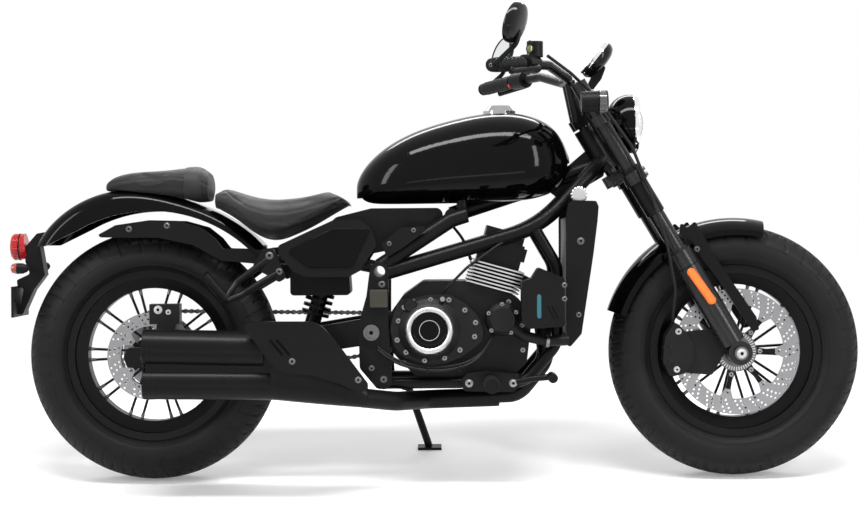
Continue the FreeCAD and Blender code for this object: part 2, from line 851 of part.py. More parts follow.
def passenger_footpegs():
    points = [(279, 573), (287, 590), (313, 592), (326, 571), (346, 516), (330, 506), (262, 545)]
    bracket = plate(points, -140, -126, 8)
    strut_a = tube([(300, -133, 562), (222, -150, 505), (200, -176, 470)], 9, 30)
    strut_b = tube([(325, -133, 528), (240, -150, 478), (200, -176, 462)], 9, 30)
    peg = cylinder((198, -172, 466), (150, -196, 528), 13)
    hanger = cylinder((320, -126, 552), (320, -120, 552), 12)
    return both_sides(fuse([bracket, strut_a, strut_b, peg, hanger]))


# Side stand
STAND_PIN_R = 8.0
STAND_PIVOT = (640.0, 162.0, 236.0)
STAND_FOOT_X = 700.0
STAND_FOOT_Y = 268.0


def ground_z(y):
    """The height in the upright frame of the leaned ground at a distance to the left."""
    a = math.radians(LEAN)
    drop = CROWN_R * (math.cos(a) - 1)
    return (y * math.sin(a) + drop) / math.cos(a)


def stand_axis():
    """The hinge is square to the leg both when it is down and when it is folded."""
    foot = Vector(STAND_FOOT_X, STAND_FOOT_Y, ground_z(STAND_FOOT_Y) + 8)
    down = (foot - Vector(*STAND_PIVOT)).normalize()
    folded = Vector(-0.985, 0.02, 0.06).normalize()
    return down.cross(folded).normalize(), down, foot


def stand_pin_ends():
    axis, down, foot = stand_axis()
    centre = Vector(*STAND_PIVOT)
    a = centre - axis * 22
    b = centre + axis * 22
    return (a.x, a.y, a.z), (b.x, b.y, b.z)


def stand_bracket():
    """The lug that carries the stand's hinge pin, under the left rail."""
    axis, down, foot = stand_axis()
    centre = Vector(*STAND_PIVOT)
    a = centre - axis * 20
    b = centre - axis * 9
    boss = cylinder((a.x, a.y, a.z), (b.x, b.y, b.z), 20)
    arm = cylinder((a.x, a.y, a.z), (640, CRADLE_Y, 250), 10)
    pin = cylinder((a.x, a.y, a.z), stand_pin_ends()[1], STAND_PIN_R)
    return fuse([boss, arm, pin])


def side_stand():
    axis, down, foot = stand_axis()
    centre = Vector(*STAND_PIVOT)
    a = centre - axis * 8
    b = centre + axis * 12
    eye = cylinder((a.x, a.y, a.z), (b.x, b.y, b.z), 19)
    root = centre + axis * 2
    leg = cylinder((root.x, root.y, root.z), (foot.x, foot.y, foot.z), 10)
    pad = block((-30, -19, 0), (34, 19, 7))
    pad.rotate(Vector(0, 0, 0), Vector(1, 0, 0), LEAN)
    pad.translate(Vector(STAND_FOOT_X, STAND_FOOT_Y, ground_z(STAND_FOOT_Y)))
    stand = fuse([eye, leg, pad])
    under = block((-80, -80, -40), (80, 80, 0))
    under.rotate(Vector(0, 0, 0), Vector(1, 0, 0), LEAN)
    under.translate(Vector(STAND_FOOT_X, STAND_FOOT_Y, ground_z(STAND_FOOT_Y)))
    return stand.cut(under).cut(cylinder(*stand_pin_ends(), STAND_PIN_R + PIN_GAP))


# Fork and steering
def clamp(z, thick, front):
    """One triple clamp: two leg eyes joined to the steering stem."""
    up = Vector(-math.sin(math.radians(RAKE)), 0, math.cos(math.radians(RAKE)))
    pieces = []
    for s in (-1, 1):
        eye = Part.makeCylinder(FORK_TUBE_R + 9, thick, Vector(*fork_point(z, s * LEG_Y)), up)
        pieces.append(eye)
    a = Vector(steer_at(z), 0, z)
    pieces.append(Part.makeCylinder(HEAD_TUBE_R, thick, a, up))
    points = [(-24, -30), (-24, 30), (14, LEG_Y + 4), (front - 8, LEG_Y + 4), (front, 40)]
    points += [(front, -40), (front - 8, -LEG_Y - 4), (14, -LEG_Y - 4)]
    bridge = Part.Face(outline([Vector(u, v, 0) for u, v in points], 12)).extrude(Vector(0, 0, thick))
    bridge.rotate(Vector(0, 0, 0), Vector(0, 1, 0), -RAKE)
    bridge.translate(a)
    pieces.append(bridge)
    return fuse(pieces)


def triple_clamps():
    lower = clamp(HEAD_BOTTOM_Z - 36, 30, 58)
    upper = clamp(HEAD_TOP_Z + 4, 26, 54)
    stem = cylinder(steer_point(HEAD_BOTTOM_Z - 40), steer_point(HEAD_TOP_Z + 40), STEM_R)
    clamps = fuse([lower, upper, stem])
    for s in (-1, 1):
        clamps = clamps.cut(cylinder(fork_point(600, s * LEG_Y), fork_point(1100, s * LEG_Y), FORK_TUBE_R))
    return clamps


def fork_tubes():
    leg = cylinder(fork_point(SLIDER_TOP_Z - 60, -LEG_Y), fork_point(FORK_TOP_Z, -LEG_Y), FORK_TUBE_R)
    return both_sides(leg)


def fork_sliders():
    body = cylinder(fork_point(345, -LEG_Y), fork_point(SLIDER_TOP_Z, -LEG_Y), SLIDER_R)
    collar = cylinder(fork_point(SLIDER_TOP_Z - 24, -LEG_Y), fork_point(SLIDER_TOP_Z, -LEG_Y), SLIDER_R + 0.01)
    lug = disc(WHEELBASE, TYRE_R, -LEG_Y - 30, -LEG_Y + 29, 30)
    slider = fuse([body, lug])
    slider = less(
        slider,
        cylinder(fork_point(SLIDER_TOP_Z - 60, -LEG_Y), fork_point(SLIDER_TOP_Z + 60, -LEG_Y), FORK_TUBE_R),
        disc(WHEELBASE, TYRE_R, -200, 0, AXLE_R),
    )
    return both_sides(slider)


def front_fender():
    """An arched shell over the tyre."""
    def arch(extra):
        r = FRONT_FENDER_R - extra
        half = FRONT_FENDER_HALF - extra
        low = 296 if not extra else 280
        a = Vector(WHEELBASE + low, -half, TYRE_R)
        b = Vector(WHEELBASE + r - 30, -half, TYRE_R)
        c = Vector(WHEELBASE + r, 0, TYRE_R)
        d = Vector(WHEELBASE + r - 30, half, TYRE_R)
        e = Vector(WHEELBASE + low, half, TYRE_R)
        edges = [
            Part.LineSegment(a, b).toShape(),
            Part.Arc(b, c, d).toShape(),
            Part.LineSegment(d, e).toShape(),
            Part.LineSegment(e, a).toShape(),
        ]
        face = Part.Face(Part.Wire(edges))
        face.rotate(Vector(WHEELBASE, 0, TYRE_R), Vector(0, 1, 0), -162)
        return face.revolve(Vector(WHEELBASE, 0, TYRE_R), Vector(0, 1, 0), 85)

    return arch(0).cut(arch(3.0))


def fender_braces():
    points = [(1343, 651), (1360, 634), (1380, 652), (1436, 553), (1534, 408), (1541, 375), (1524, 372)]
    points += [(1505, 400), (1440, 500), (1394, 560), (1372, 600), (1340, 620)]
    return plate(points, -FRONT_FENDER_HALF - 5, -FRONT_FENDER_HALF - SEAT_GAP, 5)


BAR_RUN = [(1066, 0, 1012), (1060, -80, 1014), (1005, -185, 1040), (935, -290, 1036), (862, -402, 1024)]
BAR_R = 12.0


def handlebar():
    left = [(x, -y, z) for x, y, z in BAR_RUN]
    pieces = [tube(BAR_RUN, BAR_R, 60), tube(left, BAR_R, 60)]
    for s in (-1, 1):
        foot = steer_at(HEAD_TOP_Z + 22)
        pieces.append(cylinder((foot - 6, s * 42, HEAD_TOP_Z + 14), (1066, s * 42, 1012), 14))
    return fuse(pieces)


def bar_point(y, back=0.0, up=0.0):
    """A point on the handlebar, or beside it, at a distance to the left."""
    side = -abs(y)
    for a, b in zip(BAR_RUN, BAR_RUN[1:]):
        if b[1] <= side:
            break
    t = (side - a[1]) / (b[1] - a[1])
    return (a[0] + (b[0] - a[0]) * t - back, y, a[2] + (b[2] - a[2]) * t + up)


def grips():
    grip = cylinder(bar_point(-294), bar_point(-402), 17)
    return both_sides(grip.cut(cylinder(bar_point(-291), bar_point(-402), BAR_R)))


def controls(bar_shape):
    """Switch pods and levers on both sides, with the brake fluid pot on the right."""
    pieces = []
    for s in (-1, 1):
        pod = cylinder(bar_point(s * 240), bar_point(s * 282), 23)
        lever_run = [bar_point(s * 262, -18, -2), bar_point(s * 300, -46, -10), bar_point(s * 392, -34, -16)]
        pieces.append(fuse([pod, tube(lever_run, 6, 30)]))
    pot = cylinder(bar_point(-246, -4, 18), bar_point(-246, -4, 56), 20)
    pieces[0] = fuse([pieces[0], pot])
    return less(Part.makeCompound(pieces), bar_shape)


def mirrors():
    tilt = math.radians(18)
    back = Vector(-math.cos(tilt), 0, math.sin(tilt))
    centre = Vector(914, -430, 1121)
    head = Part.makeCylinder(50, 14, centre - back * 7, back)
    tip = Vector(*BAR_RUN[-1])
    out = (tip - Vector(*BAR_RUN[-2])).normalize()
    start = tip + out * 6
    nut = Part.makeCylinder(15, 12, tip + out * 0.2, out)
    stem = tube([(start.x, start.y, start.z), (880, -430, 1040), (918, -432, 1072), (916, -430, 1100)], 6, 12)
    mirror = fuse([head, stem, nut])
    return both_sides(mirror)


def headlamp():
    x = 1231.0
    z = 903.0
    profile = [Vector(1166, 0, z), Vector(1168, 0, z + 40), Vector(1190, 0, z + 66), Vector(x, 0, z + 75)]
    profile += [Vector(x, 0, z)]
    edges = [
        Part.LineSegment(profile[0], profile[1]).toShape(),
        Part.Arc(profile[1], profile[2], profile[3]).toShape(),
        Part.LineSegment(profile[3], profile[4]).toShape(),
        Part.LineSegment(profile[4], profile[0]).toShape(),
    ]
    shell = Part.Face(Part.Wire(edges)).revolve(Vector(x, 0, z), Vector(1, 0, 0), 360)
    shell = shell.cut(cylinder((1190, 0, z), (1240, 0, z), 66 + SEAT_GAP))
    for s in (-1, 1):
        shell = shell.fuse(cylinder((1196, s * 60, z), (fork_at(z) + 10, s * (LEG_Y - 16), z), 9))
    legs = [cylinder(fork_point(700, s * LEG_Y), fork_point(1000, s * LEG_Y), FORK_TUBE_R) for s in (-1, 1)]
    return less(shell, *legs)


def headlamp_lens():
    """A shallow dome of glass in the rim."""
    seat_x = 1222.0
    crown_x = 1256.0
    lens_r = 66.0
    sag = crown_x - seat_x
    ball_r = (lens_r ** 2 + sag ** 2) / (2 * sag)
    ball = Part.makeSphere(ball_r, Vector(crown_x - ball_r, 0, 903))
    return ball.common(cylinder((seat_x, 0, 903), (crown_x + 1, 0, 903), lens_r))


def instrument():
    tilt = math.radians(50)
    face = Vector(-math.cos(tilt), 0, math.sin(tilt))
    centre = Vector(1152, 0, 1068)
    body = Part.makeCylinder(52, 34, centre - face * 17, face)
    foot = cylinder((1142, 0, 1052), (steer_at(HEAD_TOP_Z + 30) + 30, 0, HEAD_TOP_Z + 42), 10)
    return fuse([body, foot])


def front_signals():
    lamp = cylinder((1084, -200, 948), (1150, -200, 950), 26)
    stalk = cylinder((1118, -182, 944), (fork_at(935), -LEG_Y - 14, 935), 7)
    body = fuse([lamp, stalk])
    body = body.cut(cylinder(fork_point(800, -LEG_Y), fork_point(1000, -LEG_Y), FORK_TUBE_R))
    return both_sides(body)


def fork_reflectors():
    a = Vector(1357, 0, 530)
    b = Vector(1417, 0, 447)
    run = b - a
    box = Part.makeBox(run.Length, 7, 21, Vector(0, 0, -10.5))
    box.rotate(Vector(0, 0, 0), Vector(0, 1, 0), math.degrees(math.atan2(-run.z, run.x)))
    box.translate(Vector(a.x, -LEG_Y - SLIDER_R - 3, a.z))
    leg = cylinder(fork_point(340, -LEG_Y), fork_point(600, -LEG_Y), SLIDER_R)
    return both_sides(box.cut(leg))


def front_caliper():
    points = [(1325, 400), (1300, 360), (1294, 300), (1312, 258), (1350, 268), (1372, 300), (1370, 345), (1352, 372)]
    shell = plate(points, -98, -42, 10)
    slot = disc(WHEELBASE, TYRE_R, FRONT_DISC_Y - 8, FRONT_DISC_Y + 8, FRONT_DISC_R + 5)
    bracket = plate([(1352, 372), (1440, 380), (1460, 330), (1420, 262), (1350, 268)], -82, -74, 8)
    bracket = bracket.cut(disc(WHEELBASE, TYRE_R, -200, 0, 30))
    leg = cylinder(fork_point(340, -LEG_Y), fork_point(600, -LEG_Y), SLIDER_R)
    return less(fuse([shell.cut(slot), bracket]), leg)


def front_hoses():
    """The front brake hose, held at the bars, the lower clamp and the caliper."""
    route = [(1000, -232, 1060), (1060, -190, 1020), (1130, -142, 960), (1215, -138, 840)]
    route += [(1262, -142, 720), (1300, -146, 600), (1322, -140, 480), (1318, -104, 405), (1322, -86, 392)]
    return tube(route, 4, 60)


def make_parts():
    tank = fuel_tank()
    frame = less(main_frame(), tank)
    cradle = less(lower_cradle(), frame)
    fender, fender_body = rear_fender()
    seat = rider_seat(fender_body)
    case = engine_case()
    starter_side = generator_cover()
    barrels = less(cylinder_block(), case, starter_side, frame, cradle)
    pipes = less(exhaust_pipes(), barrels, case)
    shrouds = radiator_shrouds()
    lamp = tail_lamp()
    clamps = triple_clamps()
    bars = less(handlebar(), clamps)
    switches = controls(bars)
    grip_pair = grips()
    sliders = fork_sliders()
    caliper = front_caliper()
    shock = rear_shock()
    parts = {
        "main_frame": frame,
        "lower_cradle": cradle,
        "cross_tube": cross_tube(),
        "engine_case": case,
        "engine_covers": Part.makeCompound([clutch_cover(), starter_side, sprocket_cover()]),
        "clutch_cable": less(clutch_cable(), frame),
        "cylinder_block": barrels,
        "coolant_pump": less(coolant_pump(), shrouds, cradle),
        "reservoir_box": reservoir_box(),
        "radiator": less(radiator(), frame, cradle),
        "radiator_shrouds": shrouds,
        "radiator_cap": less(radiator_cap(), radiator()),
        "exhaust_pipes": pipes,
        "silencer": less(silencer(), pipes),
        "silencer_guard": silencer_guard(),
        "fuel_tank": tank,
        "fuel_cap": fuel_cap(),
        "rider_seat": seat,
        "passenger_seat": passenger_seat(fender_body, seat),
        "rear_fender": fender,
        "fender_struts": both_sides(less(fender_struts(), fender, frame)),
        "side_covers": Part.makeCompound(side_covers().Solids + trim_plates().Solids),
        "air_box": less(air_box(), frame, barrels, tank),
        "under_seat_box": less(under_seat_box(), shock_room()),
        "tail_lamp": lamp,
        "plate_carrier": less(plate_carrier(), fender_body, lamp),
        "rear_signals": rear_signals(),
        "swingarm": swingarm(),
        "axle_bolts": Part.makeCompound([pivot_bolt(), axle(0, 150)]),
        "rear_shock": shock,
        "rear_caliper": rear_caliper(),
        "drive_chain": drive_chain(),
        "rider_footpegs": rider_footpegs(),
        "passenger_footpegs": less(passenger_footpegs(), frame),
        "triple_clamps": clamps,
        "fork_tubes": fork_tubes(),
        "fork_sliders": sliders,
        "front_axle": axle(WHEELBASE, 148),
        "front_fender": front_fender(),
        "fender_braces": both_sides(less(fender_braces(), sliders)),
        "handlebar": bars,
        "grips": grip_pair,
        "controls": switches,
        "mirrors": less(mirrors(), grip_pair, bars),
        "headlamp": less(headlamp(), clamps),
        "headlamp_lens": headlamp_lens(),
        "instrument": less(instrument(), clamps),
        "front_signals": front_signals(),
        "fork_reflectors": fork_reflectors(),
        "front_caliper": caliper,
        "front_hoses": less(front_hoses(), switches, caliper),
        "front_tyre": tyre(WHEELBASE, FRONT_TYRE_W),
        "front_rim": wheel(WHEELBASE, FRONT_RIM_W, FRONT_TYRE_W, -59.5, 60, 44, 34, 48),
        "front_disc": brake_disc(WHEELBASE, FRONT_DISC_Y, FRONT_DISC_R, DISC_BAND, 40, 7),
        "rear_tyre": tyre(0, REAR_TYRE_W),
        "rear_rim": wheel(0, REAR_RIM_W, REAR_TYRE_W, -85.5, 90.5, 44, 44, 52),
        "rear_disc": brake_disc(0, REAR_DISC_Y, REAR_DISC_R, 33, 40, 5),
        "rear_sprocket": rear_sprocket(),
        "side_stand": side_stand(),
    }
    return parts


def leaned(shape):
    """A piece leaned over to the left, onto the side stand."""
    placed = shape.copy()
    placed.rotate(Vector(0, 0, 0), Vector(1, 0, 0), -LEAN)
    return placed


def footprint_middle(shapes):
    """The point on the ground under the middle of the leaned motorcycle."""
    box = FreeCAD.BoundBox()
    for shape in shapes:
        box.add(shape.optimalBoundingBox(False, False))
    return Vector((box.XMin + box.XMax) / 2, (box.YMin + box.YMax) / 2, box.ZMin)


def main():
    os.makedirs("parts", exist_ok=True)
    parts = {name: leaned(shape) for name, shape in make_parts().items()}
    middle = footprint_middle(parts.values())
    for name, shape in parts.items():
        shape.translate(middle * -1)
        shape.exportStep(os.path.join("parts", name + ".step"))
        print(name, len(shape.Solids), round(shape.Volume / 1000, 1), shape.isValid())
    print("middle", round(middle.x, 3), round(middle.y, 3), round(middle.z, 3))


main()
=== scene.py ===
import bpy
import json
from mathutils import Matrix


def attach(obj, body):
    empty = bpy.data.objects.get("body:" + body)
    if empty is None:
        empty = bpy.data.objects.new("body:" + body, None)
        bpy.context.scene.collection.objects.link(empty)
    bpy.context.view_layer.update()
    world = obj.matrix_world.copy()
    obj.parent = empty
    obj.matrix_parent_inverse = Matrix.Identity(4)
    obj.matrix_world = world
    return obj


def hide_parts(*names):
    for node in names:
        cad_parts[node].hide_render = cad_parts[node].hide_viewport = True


bl_info = {
    "name": "Cruiser motorcycle",
    "version": (1, 0, 0),
    "blender": (4, 5, 0),
    "location": "3D View > Sidebar > Motorcycle",
    "description": "Builds and finishes a cruiser motorcycle around its packed frame, with its studio stage",
    "category": "Object",
}

import json
import math

import bmesh
import bpy
from bpy.props import FloatProperty, FloatVectorProperty, IntProperty, PointerProperty
from mathutils import Matrix, Vector
from mathutils.bvhtree import BVHTree

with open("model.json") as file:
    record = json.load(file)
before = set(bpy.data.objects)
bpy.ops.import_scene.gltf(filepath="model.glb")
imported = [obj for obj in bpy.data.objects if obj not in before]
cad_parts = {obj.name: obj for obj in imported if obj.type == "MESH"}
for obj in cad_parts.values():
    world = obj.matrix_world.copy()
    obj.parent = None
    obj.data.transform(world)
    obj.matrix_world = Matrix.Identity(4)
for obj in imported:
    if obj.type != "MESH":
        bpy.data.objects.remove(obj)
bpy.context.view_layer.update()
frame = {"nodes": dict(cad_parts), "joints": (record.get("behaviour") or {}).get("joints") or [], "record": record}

# Photo size in pixels, and where the level line of sight meets it
PHOTO_W = 860
PHOTO_H = 523
SIGHT_X = 436.0
SIGHT_Y = 228.0

# Upright frame of the motorcycle, in metres: x forward from the rear axle, y left, z up from the ground
JOINTS = {joint["name"]: joint for joint in frame["joints"]}
TYRE_R = 0.320
WHEELBASE = (
    Vector(JOINTS["front_wheel_spin"]["pos_m"]) - Vector(JOINTS["rear_wheel_spin"]["pos_m"])
).length
SPIN_AXIS = Vector(JOINTS["rear_wheel_spin"]["axis"])
LEAN = math.atan2(-SPIN_AXIS.z, SPIN_AXIS.y)
TO_ROW = (
    Matrix.Translation(Vector(JOINTS["rear_wheel_spin"]["pos_m"]))
    @ Matrix.Rotation(-LEAN, 4, "X")
    @ Matrix.Translation((0, 0, -TYRE_R))
)


# Settings that a user would change
def color_setting(name, description, default):
    return FloatVectorProperty(
        name=name, description=description, subtype="COLOR", size=3, min=0, max=1, default=default,
    )


def length_setting(name, description, default, **limits):
    return FloatProperty(name=name, description=description, default=default, unit="LENGTH", **limits)


class StageSettings(bpy.types.PropertyGroup):
    floor_color: color_setting("Floor colour", "Colour of the pale floor", (0.86, 0.86, 0.86))
    camera_distance: length_setting(
        "Camera distance", "Distance from the lens to the middle plane of the motorcycle", 5.0, min=1,
    )
    camera_height: length_setting("Camera height", "Height of the lens in the upright frame", 0.639)
    camera_along: length_setting("Camera place", "How far forward of the rear axle the lens stands", 0.7232)
    camera_focal: FloatProperty(
        name="Focal length in pixels", description="Focal length measured in pixels of the photo",
        default=1942.0, min=100,
    )
    camera_roll: FloatProperty(
        name="Camera roll", description="Small roll of the camera", default=math.radians(0.407),
        subtype="ANGLE",
    )


class FinishSettings(bpy.types.PropertyGroup):
    gloss_black: color_setting("Gloss black", "Colour of the tank and the fenders", (0.0012, 0.0012, 0.0014))
    satin_black: color_setting("Satin black", "Colour of the powder-coated tubes", (0.0045, 0.0045, 0.0048))
    cast_black: color_setting("Cast black", "Colour of the coated engine castings", (0.0075, 0.0075, 0.0078))
    plastic_black: color_setting("Plastic black", "Colour of the moulded plastic", (0.0045, 0.0045, 0.0048))
    seat_dark: color_setting("Seat cover", "Colour of the seat cover", (0.0080, 0.0080, 0.0083))
    rubber_dark: color_setting("Tyre rubber", "Colour of the tyres", (0.0070, 0.0070, 0.0073))
    amber: color_setting("Amber", "Colour of the fork reflectors", (0.95, 0.16, 0.01))
    tail_red: color_setting("Tail red", "Colour of the tail lens", (0.55, 0.01, 0.012))


class TyreSettings(bpy.types.PropertyGroup):
    front_width: length_setting("Front tyre width", "Width of the front tyre", 0.130)
    rear_width: length_setting("Rear tyre width", "Width of the rear tyre", 0.150)
    pitches: IntProperty(
        name="Tread pitches", description="How often the tread repeats round a tyre", default=34, min=8,
    )
    groove_depth: length_setting("Groove depth", "Depth of the tread grooves", 0.0032)


SETTINGS = {
    "motorcycle_stage": StageSettings, "motorcycle_finish": FinishSettings, "motorcycle_tyres": TyreSettings,
}


# Nodes and links, and the shader groups that the materials share
def shared(name):
    """Make a node group once under its name, and hand out the same one from then on."""
    def wrap(maker):
        return lambda: bpy.data.node_groups.get(name) or maker(name)
    return wrap


def new_group(name, kind, inputs, outputs):
    """A node group with its sockets, and its input and output nodes."""
    group = bpy.data.node_groups.new(name, kind)
    for label, data, value in inputs:
        socket = group.interface.new_socket(name=label, in_out="INPUT", socket_type=f"NodeSocket{data}")
        if value is not None:
            socket.default_value = value
    for label, data in outputs:
        group.interface.new_socket(name=label, in_out="OUTPUT", socket_type=f"NodeSocket{data}")
    return group, group.nodes.new("NodeGroupInput"), group.nodes.new("NodeGroupOutput")


def set_inputs(node, values):
    for label, value in values.items():
        node.inputs[label.replace("_", " ")].default_value = value


def add(nodes, kind, settings=None, **values):
    """A node of a kind, with its own settings and the values of its inputs."""
    node = nodes.new(kind)
    for label, value in (settings or {}).items():
        setattr(node, label, value)
    set_inputs(node, values)
    return node


def wire(links, *runs):
    """Link sockets, each run given as node, output, node, input."""
    for source, out, target, into in runs:
        links.new(source.outputs[out], target.inputs[into])


@shared("fine_grain")
def grain_group(name):
    """Fine two-scale grain: a height for bump and a mask for small changes of gloss."""
    group, start, end = new_group(
        name, "ShaderNodeTree",
        [("Vector", "Vector", None), ("Scale", "Float", 900.0), ("Detail", "Float", 3.0)],
        [("Height", "Float"), ("Mask", "Float")],
    )
    fine = add(group.nodes, "ShaderNodeTexNoise")
    broad = add(group.nodes, "ShaderNodeTexNoise", Scale=14.0, Detail=4.0)
    wire(
        group.links, (start, "Vector", fine, "Vector"), (start, "Scale", fine, "Scale"),
        (start, "Detail", fine, "Detail"), (start, "Vector", broad, "Vector"), (fine, "Fac", end, "Height"),
        (broad, "Fac", end, "Mask"),
    )
    return group


@shared("dust_film")
def dust_group(name):
    """A thin film that gathers in patches and mixes into a colour."""
    group, start, end = new_group(
        name, "ShaderNodeTree",
        [
            ("Vector", "Vector", None), ("Color", "Color", None), ("Dust", "Color", (0.18, 0.17, 0.16, 1)),
            ("Amount", "Float", 0.1), ("Scale", "Float", 9.0),
        ],
        [("Color", "Color"), ("Mask", "Float")],
    )
    cloud = add(group.nodes, "ShaderNodeTexNoise", Detail=6.0, Roughness=0.62)
    shape = add(group.nodes, "ShaderNodeMapRange", From_Min=0.42, From_Max=0.78)
    strength = add(group.nodes, "ShaderNodeMath", {"operation": "MULTIPLY"})
    mix = add(group.nodes, "ShaderNodeMix", {"data_type": "RGBA"})
    wire(
        group.links, (start, "Vector", cloud, "Vector"), (start, "Scale", cloud, "Scale"),
        (cloud, "Fac", shape, "Value"), (shape, "Result", strength, 0), (start, "Amount", strength, 1),
        (strength, "Value", mix, "Factor"), (start, "Color", mix, "A"), (start, "Dust", mix, "B"),
        (mix, "Result", end, "Color"), (strength, "Value", end, "Mask"),
    )
    return group


# Materials: grain and dust over one colour
def surface(name, color, gloss, scale, dust, bump, depth=0.0006, tone=(0.18, 0.17, 0.16), **values):
    """A material with drifting gloss, a film of dust and fine grain; further values go to its shader."""
    material = bpy.data.materials.new(name)
    material.use_nodes = True
    nodes = material.node_tree.nodes
    shader = nodes["Principled BSDF"]
    set_inputs(shader, values)
    place = add(nodes, "ShaderNodeTexCoord")
    grain = add(nodes, "ShaderNodeGroup", {"node_tree": grain_group()}, Scale=scale)
    film = add(nodes, "ShaderNodeGroup", {"node_tree": dust_group()}, Color=(*color, 1), Amount=dust)
    film.inputs["Dust"].default_value = (*tone, 1)
    span = add(nodes, "ShaderNodeMapRange", To_Min=gloss[0], To_Max=gloss[1])
    lift = add(nodes, "ShaderNodeBump", Strength=bump, Distance=depth)
    wire(
        material.node_tree.links, (place, "Object", grain, "Vector"), (place, "Object", film, "Vector"),
        (film, "Color", shader, "Base Color"), (grain, "Mask", span, "Value"),
        (span, "Result", shader, "Roughness"), (grain, "Height", lift, "Height"),
        (lift, "Normal", shader, "Normal"),
    )
    return material.node_tree, place, grain, lift


def coated(name, color, low, high, bump, scale, dust=0.0, specular=0.5, coat=0.0, metallic=0.0):
    """A painted, moulded or cast surface."""
    surface(
        name, color, (low, high), scale, dust, bump, Metallic=metallic, Specular_IOR_Level=specular,
        Coat_Weight=coat, Coat_Roughness=0.03,
    )


def leather(name, color):
    """Grained seat cover: small cells with soft valleys."""
    tree, place, grain, lift = surface(
        name, color, (0.46, 0.62), 160.0, 0.12, 0.35, tone=(0.09, 0.09, 0.09), Specular_IOR_Level=0.22,
        Sheen_Weight=0.06, Sheen_Roughness=0.5,
    )
    cells = add(tree.nodes, "ShaderNodeTexVoronoi", {"feature": "DISTANCE_TO_EDGE"}, Scale=420.0)
    height = add(tree.nodes, "ShaderNodeMath", {"operation": "MULTIPLY_ADD"})
    height.inputs[1].default_value = 3.0
    wire(
        tree.links, (place, "Object", cells, "Vector"), (cells, "Distance", height, 0),
        (grain, "Height", height, 2), (height, "Value", lift, "Height"),
    )


def bright_metal(name, color, low, high, streak):
    """Bare or plated metal with faint turning streaks."""
    surface(name, color, (low, high), 500.0, 0.25, streak, 0.0004, (0.25, 0.24, 0.23), Metallic=1.0)


def lens(name, color, roughness, through):
    """Moulded clear or tinted lens with a fine inner ripple."""
    gloss = (roughness, roughness + 0.03)
    surface(name, color, gloss, 260.0, 0.03, 0.03, 0.0005, Transmission_Weight=through, IOR=1.45)


# Colour or its setting, lowest and highest roughness, bump, grain scale, dust, specular, coat, metallic
COATINGS = {
    "gloss_black": ("gloss_black", 0.07, 0.12, 0.004, 260, 0.003, 0.06, 0.12),
    "satin_black": ("satin_black", 0.27, 0.38, 0.08, 1600, 0.01, 0.12),
    "cast_black": ("cast_black", 0.32, 0.46, 0.25, 1100, 0.02, 0.15),
    "fork_black": ("cast_black", 0.22, 0.32, 0.06, 1600, 0.01, 0.30),
    "plastic_black": ("plastic_black", 0.36, 0.50, 0.16, 2200, 0.01, 0.12),
    "gloss_plastic": ("plastic_black", 0.10, 0.18, 0.02, 600, 0.01, 0.2),
    "tyre_rubber": ("rubber_dark", 0.46, 0.60, 0.22, 700, 0.02, 0.15),
    "grip_rubber": ("rubber_dark", 0.50, 0.64, 0.2, 1500, 0.02, 0.2),
    "rubber_black": ("rubber_dark", 0.45, 0.6, 0.1, 1500, 0.0, 0.2),
    # Near-black: painted shade in screw sockets, slots and silencer bores, and the dark seam round the front
    # signals
    "shade_and_seam_black": ((0.002, 0.002, 0.002), 0.5, 0.7, 0.05, 900, 0.0, 0.05),
    "thread": ((0.035, 0.035, 0.036), 0.6, 0.75, 0.2, 3000),
    "teal": ((0.01, 0.11, 0.14), 0.3, 0.4, 0.02, 900, 0.0, 0.5, 0.3),
    "switch_red": ((0.60, 0.02, 0.015), 0.3, 0.4, 0.02, 900),
    "olive_window": ((0.10, 0.12, 0.02), 0.12, 0.18, 0.01, 500, 0.0, 0.5, 0.6),
    "smoked_lens": ((0.05, 0.05, 0.055), 0.08, 0.16, 0.05, 300, 0.0, 0.5, 0.5),
    "dial_glass": ((0.004, 0.005, 0.006), 0.03, 0.06, 0.0, 300, 0.0, 0.5, 1.0),
    "dial_mark": ((0.75, 0.76, 0.78), 0.4, 0.5, 0.02, 900),
    "copper_box": ((0.05, 0.045, 0.035), 0.35, 0.5, 0.1, 900, 0.0, 0.5, 0.0, 0.4),
    "amber_dark": ((0.30, 0.035, 0.01), 0.12, 0.2, 0.05, 300, 0.0, 0.5, 0.6),
    "amber_glow": ((0.90, 0.20, 0.015), 0.12, 0.2, 0.08, 260, 0.0, 0.5, 0.8),
}
# Colour, lowest and highest roughness, streak
METALS = {
    "steel": ((0.27, 0.27, 0.28), 0.26, 0.40, 0.15),
    "dark_steel": ((0.12, 0.12, 0.125), 0.30, 0.44, 0.15),
    "silver_cast": ((0.55, 0.55, 0.56), 0.25, 0.40, 0.3),
    "bright_chrome": ((0.86, 0.86, 0.87), 0.04, 0.10, 0.01),
    "polished_cap": ((0.42, 0.42, 0.43), 0.10, 0.18, 0.05),
    "mirror_glass": ((0.82, 0.84, 0.85), 0.01, 0.03, 0.0),
    "chain_steel": ((0.20, 0.19, 0.18), 0.30, 0.45, 0.2),
    "bright_fin": ((0.60, 0.60, 0.61), 0.22, 0.34, 0.2),
}
# Colour or its setting, roughness, share of light that passes
LENSES = {
    "clear_lens": ((0.96, 0.97, 0.98), 0.02, 1.0),
    "red_lens": ("tail_red", 0.08, 0.35),
    "amber_lens": ("amber", 0.12, 0.10),
}
COVERS = {"seat_cover": ("seat_dark",), "strap_cover": ((0.016, 0.016, 0.017),)}


def finish(kind):
    """The finish of a kind, made the first time it is asked for under a name that no CAD material has."""
    name = f"{kind}_finish"
    for maker, table in ((coated, COATINGS), (bright_metal, METALS), (lens, LENSES), (leather, COVERS)):
        if kind in table and name not in bpy.data.materials:
            color, *numbers = table[kind]
            if isinstance(color, str):
                color = getattr(bpy.context.scene.motorcycle_finish, color)
            maker(name, color, *numbers)
    return bpy.data.materials[name]


